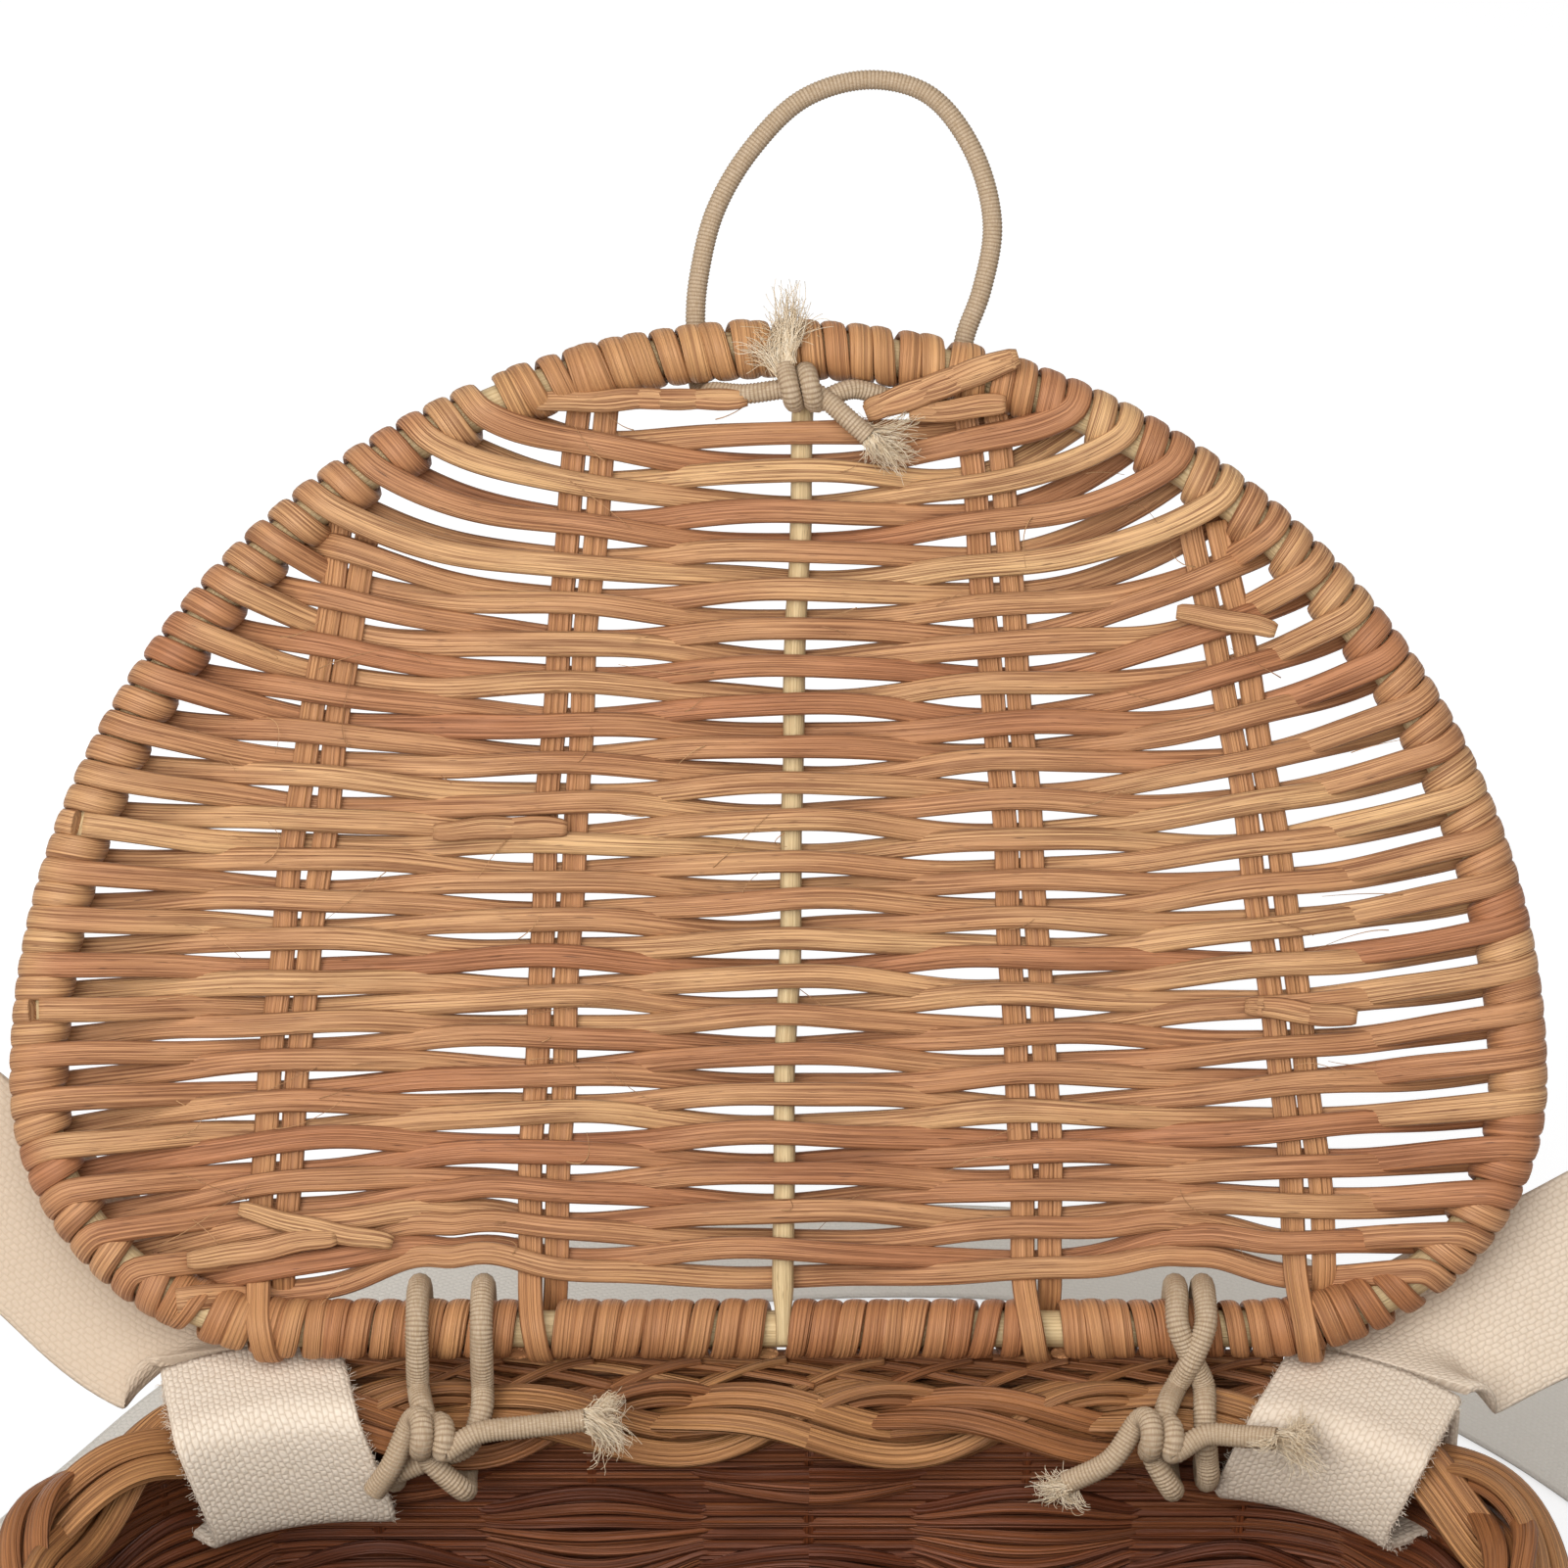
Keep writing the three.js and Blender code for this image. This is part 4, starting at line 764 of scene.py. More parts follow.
def make_reed(name, colors, grain_share, flecks, ridges):
    """Split reed: a tint through three colours, darkened along its grain and at its edges, with flecks."""
    finish = settings("bag_finish")
    pale, middle, deep, grain = (
        tuple(getattr(finish, color)) if isinstance(color, str) else linear(*color) for color in colors)
    material, graph, shader = new_material(name)
    along, around, tint, edge = graph.strip()
    pattern = graph.pattern("Reed grain", make_grain, along, around)
    streak, ridge, height = pattern["Streak"], pattern["Ridge"], pattern["Height"]
    base = graph.mix(graph.spread(tint, 0.0, 0.5), pale, middle)
    base = graph.mix(graph.spread(tint, 0.5, 1.0), base, deep)
    base = graph.mix(graph.times(pattern["Patch"], 0.5), base, deep)
    base = graph.mix(graph.times(streak, grain_share), base, grain)
    if ridges:
        base = graph.mix(graph.spread(ridge, 0.0, 0.45, ridges, 0.0), base, grain)
        height = graph.math("ADD", height, graph.times(ridge, 1.2))
    base = graph.mix(graph.times(graph.math("POWER", edge, 6.0), 0.32), base, grain)
    dark = tuple(0.45 * part for part in grain)
    base = graph.mix(graph.times(pattern["Fleck"], flecks), base, dark)
    roughness = graph.spread(streak, 0.0, 1.0, 0.42, 0.66)
    graph.surface(shader, base, roughness, 0.35, height, 0.8, 0.4 * MM)
    return material


def make_cotton(name):
    """Natural cotton webbing: the weave's bumps are paler than the gaps between them, which hold painted
    shade.
    A tint below 0.5 is painted light, paler, and one above it is painted shade, darker."""
    material, graph, shader = new_material(name)
    along, around, tint, _ = graph.strip()
    pattern = graph.pattern("Plain weave", make_weave, along, around)
    slub = graph.spread(graph.noise(along, around, 3.0, 700.0, 150.0), 0.35, 0.7)
    gap = graph.spread(pattern["Thread"], 0.1, 0.7, 1.0, 0.0)
    base = graph.mix(graph.times(slub, 0.3), tuple(settings("bag_finish").cotton), linear(212, 194, 172))
    # Painted shade: the gaps between the weave's threads are darkened.
    base = graph.mix(graph.times(gap, 0.5), base, linear(180, 156, 130))
    # Painted light for a tint below 0.5, which pales the webbing, and painted shade for a tint above 0.5,
    # which darkens it.
    base = graph.mix(graph.spread(tint, 0.0, 0.5, 0.85, 0.0), base, linear(250, 244, 234))
    base = graph.mix(graph.spread(tint, 0.5, 1.5), base, linear(196, 174, 150))
    graph.surface(shader, base, 0.9, 0.05, pattern["Height"], 0.36, 0.5 * MM)
    return material


def make_elastic(name):
    """Covered elastic: fine threads over the cord's ribs, with painted shade between them. A tint above 1.5
    is a loose fibre."""
    material, graph, shader = new_material(name)
    along, around, tint, _ = graph.strip()
    rib = graph.math("SINE", graph.times(along, 2 * math.pi / settings("bag_cord").rib))
    thread = graph.noise(along, around, tint, 900.0, 5200.0)
    cover = tuple(settings("bag_finish").elastic)
    base = graph.mix(graph.spread(thread, 0.35, 0.7), cover, linear(168, 144, 114))
    # Painted shade in the hollows between the ribs.
    base = graph.mix(graph.spread(rib, -1.0, 0.3, 0.6, 0.0), base, linear(128, 102, 76))
    fibre = graph.mix(graph.spread(tint, 2.0, 3.0), linear(236, 221, 197), linear(208, 184, 150))
    base = graph.mix(graph.spread(tint, 1.5, 1.6), base, fibre)
    graph.surface(shader, base, 0.75, 0.25, thread, 0.4, 0.2 * MM)
    return material


def make_button(name):
    """Turned wood of one colour with a faint mottle."""
    material, graph, shader = new_material(name)
    color = tuple(settings("bag_finish").button)
    place = graph.node("ShaderNodeTexCoord").outputs["Object"]
    mottle = graph.node("ShaderNodeTexNoise", {"Vector": place, "Scale": 300.0, "Detail": 3.0}).outputs[0]
    darker = tuple(0.72 * part for part in color)
    base = graph.mix(graph.spread(mottle, 0.35, 0.7), color, darker)
    graph.feed(shader, {"Base Color": base, "Roughness": 0.45})
    return material


# Materials and how they are made. A reed has its pale, middle, deep and grain colours, each a setting or a
# colour as it looks on a screen, and the strength of its grain, flecks and ridges.
LOOKS = {
    "lid_weaving_reed": (make_reed, ("reed_pale", "reed_middle", "reed_deep", "reed_grain"), 0.86, 0.85, 0),
    "wrapping_reed": (make_reed, ("wrap", (200, 144, 96), (178, 118, 76), "reed_grain"), 0.5, 0.5, 0.4),
    "peeled_cane": (make_reed, ("cane", (214, 188, 142), (206, 176, 126), (150, 112, 68)), 0.45, 0.8, 0),
    # The wall reed's colours are partly its own reddish brown and partly painted shade for the basket's
    # shaded inside.
    "wall_weaving_reed": (make_reed, ("wall", (130, 71, 37), (108, 54, 27), (62, 30, 15)), 0.66, 0.5, 0.4),
    "rim_plait_reed": (make_reed, ("rim", (176, 118, 72), (150, 94, 54), (92, 52, 26)), 0.72, 0.6, 0.45),
    "cotton_webbing": (make_cotton,),
    "covered_elastic": (make_elastic,),
    "turned_button": (make_button,),
}


def look(name):
    """One of the bag's materials, made the first time."""
    make, *details = LOOKS[name]
    return bpy.data.materials.get(name) or make(name, *details)


def add_cord(strips, points, diameter, rng):
    """A ribbed cord through points: its radius swells at each rib, which runs round it as a thread."""
    pitch = settings("bag_cord").rib / MM
    path = resample(curve_through(points, 40), pitch / 4)
    section = oval(diameter, diameter, 12, 2)
    arcs = arc_lengths(path)
    turn = np.arange(12) / 12
    grow = 1 + RIB_SHARE * np.sin(2 * math.pi * (arcs[:, None] / pitch + turn))
    strips.add(path, carried(path, unit(np.array(CORD_SIDE))), section, rng.uniform(), grow=grow)
    return path


def add_fray(strips, end, travel, rng, count, length, spread, roof):
    """Loose fibres at a cut end, in tufts: each leaves it near its tuft's way and curls over, as an arc that
    tightens with its length, with a small sine wave on it. The roof, a point and the way up, turns fibres
    back."""
    point, up = roof
    share = np.linspace(0, 1, 13)
    section = oval(FRAY_FIBRE, FRAY_FIBRE, 4, 2)
    for _ in range(TUFTS):
        tuft = unit(travel + rng.normal(0, spread, 3))
        tuft_side = rng.normal(0, 1, 3)
        tuft_curl, tuft_reach = rng.uniform(0.4, 2.4), length * rng.uniform(0.6, 1.15)
        root = end - travel * 0.8 + rng.normal(0, 0.55, 3)
        for _ in range(count // TUFTS):
            heading = unit(tuft + rng.normal(0, 0.13, 3))
            side = tuft_side + rng.normal(0, 0.3, 3)
            side = unit(side - heading * (side @ heading))
            angle = tuft_curl * rng.uniform(0.7, 1.25) * share**1.4
            step = np.cos(angle)[:, None] * heading + np.sin(angle)[:, None] * side
            run = np.cumsum(step, axis=0) * tuft_reach * rng.uniform(0.7, 1.1) / len(share)
            wave = rng.normal(0, 0.05 * length, 3) * (np.sin(share * rng.uniform(4, 9)) * share)[:, None]
            path = root + rng.normal(0, 0.4, 3) + run + wave
            path = path - 2 * np.maximum(0, (path - point) @ up)[:, None] * up
            across = carried(path, unit(rng.normal(0, 1, 3)))
            strips.add(path, across, section, 2 + rng.uniform(), grow=1 - 0.4 * share)


class BAG_OT_stage(bpy.types.Operator):
    """Set the camera in front of the lid, the soft light and the pale floor"""

    bl_idname = "bag.stage"
    bl_label = "Stage"

    def execute(self, context):
        stage = settings("bag_stage")
        lid = Lid()
        scene = context.scene
        toward = Vector(lid.axes[2])
        target = Vector(lid.world((stage.aim_side / MM, stage.aim_up / MM, 0)) * MM)
        camera = bpy.data.cameras.new("camera")
        camera.sensor_width = SENSOR
        camera.lens = SENSOR * stage.distance / stage.view_width
        viewer = bpy.data.objects.new("camera", camera)
        facing = Matrix([Vector(axis) for axis in lid.axes]).transposed().to_4x4()
        viewer.matrix_world = Matrix.Translation(target + toward * stage.distance) @ facing
        scene.collection.objects.link(viewer)
        scene.camera = viewer
        lamps = (("key_light", (-0.15, -0.62, 1.22), 1.2, stage.key),
                 ("fill_light", (-0.75, -0.95, 0.85), 0.8, stage.fill))
        for name, place, size, power in lamps:
            light = bpy.data.lights.new(name, "AREA")
            light.size = size
            light.energy = power
            lamp = bpy.data.objects.new(name, light)
            aim = Vector(LAMP_AIM) - Vector(place)
            lamp.matrix_world = Matrix.Translation(place) @ aim.to_track_quat("-Z", "Y").to_matrix().to_4x4()
            scene.collection.objects.link(lamp)
        self.add_world(scene, stage)
        self.add_floor(scene)
        scene.view_settings.view_transform = "Standard"
        return {"FINISHED"}

    @staticmethod
    def seen(graph):
        """1 for rays from the camera, a mirror or glass, and 0 for the light that falls on the object."""
        path = graph.node("ShaderNodeLightPath").outputs
        bounced = graph.math("MAXIMUM", path["Is Glossy Ray"], path["Is Transmission Ray"])
        return graph.math("MAXIMUM", path["Is Camera Ray"], bounced)

    def add_world(self, scene, stage):
        """White where it is seen, and a plain soft light elsewhere."""
        world = bpy.data.worlds.new("studio")
        world.use_nodes = True
        scene.world = world
        graph = Graph(world.node_tree)
        strength = graph.spread(self.seen(graph), 0.0, 1.0, stage.sky, 1.0)
        graph.feed(world.node_tree.nodes["Background"], {"Color": (1, 1, 1, 1), "Strength": strength})

    def add_floor(self, scene):
        """A white floor that keeps the shadow and, where it is seen, glows a little."""
        material, graph, shader = new_material("white_floor")
        graph.feed(shader, {
            "Base Color": (FLOOR_GRAY, FLOOR_GRAY, FLOOR_GRAY, 1), "Roughness": 1.0,
            "Specular IOR Level": 0.0, "Emission Color": (1, 1, 1, 1),
            "Emission Strength": graph.times(self.seen(graph), FLOOR_GLOW)})
        mesh = bpy.data.meshes.new("floor")
        mesh.from_pydata([(-4, -4, 0), (4, -4, 0), (4, 4, 0), (-4, 4, 0)], [], [(0, 1, 2, 3)])
        mesh.materials.append(material)
        floor = bpy.data.objects.new("floor", mesh)
        scene.collection.objects.link(floor)


class BAG_OT_strap(bpy.types.Operator):
    """Lay the cotton strap and its two loops over the rim"""

    bl_idname = "bag.strap"
    bl_label = "Strap"

    def execute(self, context):
        basket = Basket()
        cords = settings("bag_cord")
        width, thickness = cords.webbing_width / MM, cords.webbing_thickness / MM
        rng = np.random.default_rng(SEED + 7)
        self.add_strap(basket, width, thickness)
        for side, name in ((-1, "left"), (1, "right")):
            self.add_loop(basket, side, name, width, thickness, rng)
        return {"FINISHED"}

    def add_strap(self, basket, width, thickness):
        """The strap through its route. Its face tilts from level by the route's angles, and near a loop it
        turns smoothly to lie along the rim."""
        at, along, out = basket.rim([-STRAP_ARC, STRAP_ARC])
        ends = at + out * (WEBBING_OUT + thickness / 2) + (0, 0, WEBBING_OVER)
        points = np.concatenate((ends[:1], np.array(STRAP_ROUTE)[:, :3], ends[1:]))
        tilts = [0, *(spot[3] for spot in STRAP_ROUTE), 0]
        path = resample(curve_through(points, 30, tilts), 2.2)
        path, tilt = path[:, :3], np.radians(path[:, 3])
        travel = unit(np.gradient(path, axis=0))
        level = unit(np.stack((travel[:, 1], -travel[:, 0], 0 * tilt), axis=1))
        face = level * np.cos(tilt)[:, None] + np.cross(travel, level) * np.sin(tilt)[:, None]
        arcs = arc_lengths(path)
        share = np.clip(np.minimum(arcs, arcs[-1] - arcs) / STRAP_TURN, 0, 1)
        turned = (share * share * (3 - 2 * share))[:, None]
        rimward = np.where(arcs[:, None] < arcs[-1] / 2, along[0], -along[1])
        across = unit(rimward * (1 - turned) + face * turned)
        strips = Strips()
        # Painted light and shade along the strap: the two ends by the loops are painted shade, the left one
        # more, and the middle, which lies on the floor in the lid's shadow, is painted light.
        tint = np.interp(arcs / arcs[-1], (0.16, 0.3, 0.7, 0.84), (1.25, 0, 0, 0.85))
        strips.add(path, np.cross(travel, across), flat_section(width, thickness), tint, across=across)
        strap = strips.build("strap_webbing", "cotton_webbing", "basket", "shoulder_strap")

    @staticmethod
    def add_fuzz(strips, edges, rng):
        """Short cotton fibres along the webbing's two edges."""
        share = np.linspace(0, 1, 5)[:, None]
        section = oval(FUZZ_FIBRE, FUZZ_FIBRE, 4, 2)
        for _ in range(FUZZ_COUNT):
            station, side = rng.integers(len(edges)), rng.integers(2)
            away = unit(edges[station, side] - edges[station, 1 - side])
            heading = unit(away + rng.normal(0, 0.7, 3))
            path = edges[station, side] - away * 0.3 + rng.normal(0, 0.25, 3) + (
                heading * share + rng.normal(0, 0.5, 3) * share**2) * rng.uniform(0.4, 1.0)
            strips.add(path, carried(path, unit(rng.normal(0, 1, 3))), section, 0.5)

    def add_loop(self, basket, side, name, width, thickness, rng):
        """Webbing through the wall, up inside the rim, over it and out: one route across the rim, laid side
        by side along it. Inside the rim it leans toward the bag's middle on its way down."""
        out, over, low = WEBBING_OUT, WEBBING_OVER, PASS_HEIGHT + (4 if side > 0 else 0)
        route = [(out, over - 2.1), (out, RIM_MIDDLE), (out, low + 6), (out - 1, low + 1.5), (out - 3, low),
                 (3 - out, low), (1 - out, low + 1.5), (-out, low + 6), (-out, RIM_MIDDLE + 1.5),
                 (1 - out, over - 1.5), (3 - out, over), (0, over), (out + thickness / 2 - 0.3, over)]
        path = resample(curve_through(route, 16), 1.0)
        travel = unit(np.gradient(path, axis=0))
        normal = np.stack((-travel[:, 1], travel[:, 0]), axis=1)
        section = flat_section(width, thickness, 31)
        at, _, _ = basket.rim(side * STRAP_ARC - section[:, 0])
        _, along, outward = basket.rim([side * STRAP_ARC])
        place = path[:, None] + normal[:, None] * section[None, :, 1:]
        rings = at[None] + outward * place[..., :1] + UP * place[..., 1:]
        inside = np.clip(-path[:, 0] / out, 0, 1)
        lean = -side * LOOP_LEAN * inside * np.clip((over - path[:, 1]) / (over - low), 0, 1)
        rings = rings + along * lean[:, None, None]
        around = arc_lengths(np.concatenate((section, section[:1])))
        strips = Strips()
        # Painted shade on the right loop: its tint of 0.7 darkens it, while the left loop's tint of 0.5
        # leaves it plain.
        strips.add_rings(rings, arc_lengths(path), around, 0.6 + 0.1 * side, np.zeros(len(section)))
        edges = rings[:, [np.argmin(section[:, 0]), np.argmax(section[:, 0])]]
        self.add_fuzz(strips, edges[path[:, 0] < out - 1], rng)
        strips.build(f"strap_{name}_webbing", "cotton_webbing", "basket", f"strap_{name}_loop")


class BAG_OT_lid_frame(bpy.types.Operator):
    """Bend the lid's hoop, set its centre rod and its doubled stakes"""

    bl_idname = "bag.lid_frame"
    bl_label = "Lid frame"

    def execute(self, context):
        lid = Lid()
        rng = np.random.default_rng(SEED)
        self.add_hoop(lid)
        self.add_rod(lid, rng)
        outer = [stake for order, stake in enumerate(STAKES) if order != CENTER]
        for number, stake in enumerate(outer, 1):
            self.add_pair(lid, stake, number, rng)
        return {"FINISHED"}

    def add_hoop(self, lid):
        """Round cane along the hoop's outline."""
        point, _, _ = lid.outline.at(lid.outline.round(320))
        strips = Strips().add(lid.world(lift(point, 0.0)), lid.axes[2], oval(lid.hoop, lid.hoop, 14, 2), 0.4,
                              closed=True)
        strips.build("lid_hoop_cane", "peeled_cane", "lid", "lid_hoop")

    def add_rod(self, lid, rng):
        """The centre rod, slightly uneven, down to the hinge edge, where its shaved foot laps the hoop."""
        height = np.linspace(ROD_FOOT_END, lid.dome(4.5) - 4.9, 130)
        across = lid.stake_across(STAKES[CENTER], height) + waver(rng, height, 0.25, 60)
        foot = np.clip((ROD_FOOT_TOP - height) / ROD_FOOT_LENGTH, 0, 1)
        foot = foot**2 * (3 - 2 * foot)
        path = lid.world(np.stack((across, height, ROD_FOOT_DEPTH * foot), axis=1))
        grow = (1 + waver(rng, height, 0.03, 25)) * (1 - ROD_FOOT_SHAVED * foot)
        strips = Strips().add(path, lid.axes[2], oval(lid.rod, lid.rod, 14, 2), 0.3, grow=grow)
        strips.build("lid_center_rod", "peeled_cane", "lid", "lid_center_stake")

    def add_pair(self, lid, stake, number, rng):
        """One flat reed that comes down, turns round the hoop in front and goes back up beside itself."""
        rise = np.linspace(7.2, lid.stake_top(stake, 5.2), 90)
        legs = []
        for side in (-1, 1):
            across = lid.stake_across(stake, rise) + side * STAKE_OFFSET + waver(rng, rise, 0.3, 50)
            legs.append(np.stack((across, rise, 0 * rise), axis=1))
        angle = np.radians(np.linspace(125, -125, 30))
        slide = np.linspace(-STAKE_OFFSET, STAKE_OFFSET, 30) * 0.8
        radius = lid.hoop / 2 + 1.8
        turn = np.stack((stake[0] + slide, -radius * np.cos(angle), radius * np.sin(angle)), axis=1)
        turn_facing = np.stack((0 * angle, -np.cos(angle), np.sin(angle)), axis=1)
        face = np.tile((0.0, 0.0, 1.0), (90, 1))
        path = np.concatenate((legs[0][::-1], turn, legs[1]))
        facing = np.concatenate((face, turn_facing, -face))
        smooth(path, 3)
        smooth(facing, 3)
        tint = np.linspace(rng.uniform(0.1, 0.6), rng.uniform(0.3, 0.8), len(path))
        strips = Strips().add(lid.world(path), lid.turn(facing), oval(*STAKE_REED, 16, 3.6), tint)
        strips.build(f"lid_stake_reeds_{number}", "wrapping_reed", "lid", f"lid_stake_pair_{number}")


class BAG_OT_lid_weave(bpy.types.Operator):
    """Weave the lid's rows of reed to and fro between the two sides of the hoop"""

    bl_idname = "bag.lid_weave"
    bl_label = "Lid weave"

    def execute(self, context):
        lid = Lid()
        rng = np.random.default_rng(SEED + 1)
        section = oval(lid.reed_width, lid.reed_thickness, 14, 2.6)
        for number, (first, last) in enumerate(zip(WEAVER_ROWS, WEAVER_ROWS[1:]), 1):
            paths, facings, tints, grows = [], [], [], []
            for row in range(first, last):
                path, facing = lid.row_path(row, rng)
                order = 1 if row % 2 == 0 else -1
                tone = 0.47 + 0.26 * max(0, 1 - row / 15)
                tint = np.clip(rng.normal(tone, 0.25) + waver(rng, path[:, 0], 0.14, 80), 0, 1)
                paths.append(path[::order])
                facings.append(facing)
                tints.append(tint[::order])
                grows.append(1 + rng.normal(0, 0.07) + waver(rng, path[:, 0], 0.05, 45))
                near = np.minimum(path[:, 0] - path[0, 0], path[-1, 0] - path[:, 0])
                grows[-1] = np.maximum(grows[-1], 1) + 0.13 * np.exp(-near / 24) - 0.03
                if row < lid.rows - 1:
                    wound, wound_facing = lid.wrap_path(row)
                    paths.append(wound)
                    facings.append(wound_facing)
                    tints.append(np.full(len(wound), tints[-1][-1]))
                    grows.append(np.full(len(wound), 1.13))
            path, facing = np.concatenate(paths), np.concatenate(facings)
            tint, grow = np.concatenate(tints), np.concatenate(grows)
            for part, times in ((path, 2), (facing, 2), (grow, 6), (tint, 6)):
                smooth(part, times)
            strips = Strips().add(lid.world(path), lid.turn(facing), section, tint, grow=grow)
            reach = path[:, 1].min() + 6, path[:, 1].max() - 2
            self.add_splices(strips, lid, reach, rng)
            self.add_strays(strips, lid, reach, rng)
            strips.build(f"lid_weaving_{number}", "lid_weaving_reed", "lid", f"lid_weaver_{number}")
        return {"FINISHED"}

    @staticmethod
    def add_splices(strips, lid, reach, rng):
        """Cut ends and tucked lengths of reed that lie over the rows of this weaver."""
        face = lid.turn((0, 0, 1.0))
        for start, end, depths, width in SPLICES:
            if not reach[0] - 8 <= (start[1] + end[1]) / 2 < reach[1] + (20 if reach[1] > 135 else 0):
                continue
            share = np.linspace(0, 1, 24)[:, None]
            flat = np.array(start) + (np.array(end) - start) * share
            flat[:, 1] += waver(rng, flat[:, 0], 0.3, 20)
            depth = depths[0] + (depths[1] - depths[0]) * share[:, 0]
            tint = np.clip(rng.normal(0.45, 0.2) + waver(rng, flat[:, 0], 0.1, 30), 0, 1)
            strips.add(lid.world(lift(flat, depth)), face, oval(width, SPLICE_THICKNESS, 12, 2.6), tint,
                       grow=0.62 + 0.38 * np.sin(math.pi * share[:, 0]) ** 0.35)

    @staticmethod
    def add_strays(strips, lid, reach, rng):
        """Loose fibres on the rows, each bent with the square of its length."""
        section = oval(*STRAY_FIBRE, 4, 2)
        share = np.linspace(0, 1, 9)[:, None]
        for _ in range(STRAY_COUNT):
            height = rng.uniform(*reach)
            start = np.array((rng.uniform(-0.85, 0.85) * lid.half_width, height, rng.uniform(2.4, 3.0)))
            if lid.dome(start[0]) < height + 6:
                continue
            heading = unit(np.array((rng.choice((-1, 1)), rng.normal(0, 0.5), rng.uniform(0, 0.25))))
            bend = rng.normal(0, 0.5, 3) * (1, 1, 0.3)
            path = start + (heading * share + bend * share**2) * rng.uniform(3, 11)
            across = carried(path, np.array((0.3, 0.9, 0.3)))
            strips.add(lid.world(path), lid.turn(across), section, rng.uniform(0, 0.5),
                       grow=1 - 0.6 * share[:, 0])


class BAG_OT_lid_lashings(bpy.types.Operator):
    """Wind reed round the hoop along the hinge edge and at the front"""

    bl_idname = "bag.lid_lashings"
    bl_label = "Lid lashings"

    def execute(self, context):
        lid = Lid()
        rng = np.random.default_rng(SEED + 2)
        for name, runs in LASHING_RUNS.items():
            middle = lid.outline.length / 2 if name == "front" else 0
            strips = Strips()
            for start, end, tone in runs:
                self.wind(strips, lid, middle + start, middle + end, LASHING_HANDS[name], tone, rng)
            strips.build(f"lid_wraps_{name}", "wrapping_reed", "lid", f"lid_lashing_{name}")
        return {"FINISHED"}

    @staticmethod
    def wind(strips, lid, start, end, hand, tone, rng):
        """A strip wound round the hoop as a helix whose turns are a little uneven. A thicker turn lies
        deeper, so the ties clear all turns when the lid closes."""
        turns = max(1, round((end - start) / LASHING_PITCH))
        spot = np.linspace(0, turns, turns * 22 + 1)
        count = turns + 1
        uneven, radius, tint, grow = (np.interp(spot, np.arange(count), values) for values in (
            rng.normal(0, 0.55, count), rng.uniform(-0.12, 0.12, count),
            np.clip(tone + rng.uniform(-0.35, 0.35, count), 0, 1), rng.normal(0, 0.08, count)))
        arcs = start + (end - start) * spot / turns + uneven
        radius = LASHING_RADIUS + radius - LASHING_THICKNESS / 2 * np.maximum(grow, 0)
        path, facing = lid.round_hoop(arcs, hand * 2 * math.pi * spot, radius)
        section = oval(LASHING_WIDTH, LASHING_THICKNESS, 14, 2.4)
        strips.add(lid.world(path), lid.turn(facing), section, tint, grow=1 + grow)


class BAG_OT_closure(bpy.types.Operator):
    """Stand the elastic closure loop at the lid's front and knot its ends inside"""

    bl_idname = "bag.closure"
    bl_label = "Closure"

    def execute(self, context):
        lid = Lid()
        rng = np.random.default_rng(SEED + 3)
        elastic = settings("bag_cord").elastic / MM
        feet = [np.array((x, lid.dome(x), -LOOP_BEHIND)) for x in LOOP_FEET]
        route = np.array(LOOP_ROUTE) + (0, lid.height, -LOOP_BEHIND)
        above = [feet[0] + (-0.4, 2 * elastic, 0), feet[1] + (1.2, 2 * elastic, 0)]
        points = np.concatenate(([feet[0], above[0]], route, [above[1], feet[1]]))
        strips = Strips()
        add_cord(strips, lid.world(points), elastic, rng)
        strips.build("closure_elastic", "covered_elastic", "closure_loop", "closure_loop")
        self.add_knot(lid, feet, elastic, rng)
        return {"FINISHED"}

    def add_knot(self, lid, feet, elastic, rng):
        """The loop's ends come under the hoop. One runs straight on into a frayed tail, and the other winds
        one and a half turns round it and frays over the hoop."""
        strips = Strips()
        center = np.array(CLOSURE_KNOT)
        left = [feet[0] - (0, 0.3, 0), feet[0] + (0, -3.6, 0.3), (-12.1, lid.dome(12.1) - 6.9, -3.4),
                (-10.6, lid.dome(12.1) - 6.4, 0.8), (-5.5, 150.6, 3.4), (0.5, 151.3, 4.2)]
        tail = [center, (7.6, 149.6, 4.9), (11.0, 146.6, 5.6), (14.4, 143.6, 5.6)]
        path = add_cord(strips, lid.world([*left, *tail]), elastic, rng)
        roof = lid.world((0, 0, CLOSURE_ROOF)), lid.axes[2]
        add_fray(strips, path[-1], unit(path[-1] - path[-8]), rng, 380, 8.5, 0.36, roof)
        right = [feet[1] - (0, 0.3, 0), feet[1] + (-0.4, -3.6, 0.3), (21.6, lid.dome(21.6) - 6.7, -3.2),
                 (17.5, lid.dome(17.5) - 6.6, 0.6), (11.8, 151.4, 2.8)]
        angle = -math.pi / 2 - np.arange(2, 13) * math.pi / 4
        share = np.arange(2, 13) / 12
        turns = center + np.stack((2.9 - 5.0 * share, 2.5 * np.cos(angle), 2.5 * np.sin(angle)), axis=1)
        tail = [(1.0, 154.9, 5.6)]
        path = add_cord(strips, lid.world([*right, *turns, *tail]), elastic, rng)
        add_fray(strips, path[-1], lid.turn((-0.3, 0.95, 0)), rng, 560, 12.5, 0.42, roof)
        strips.build("closure_knot_elastic", "covered_elastic", "lid", "closure_knot")


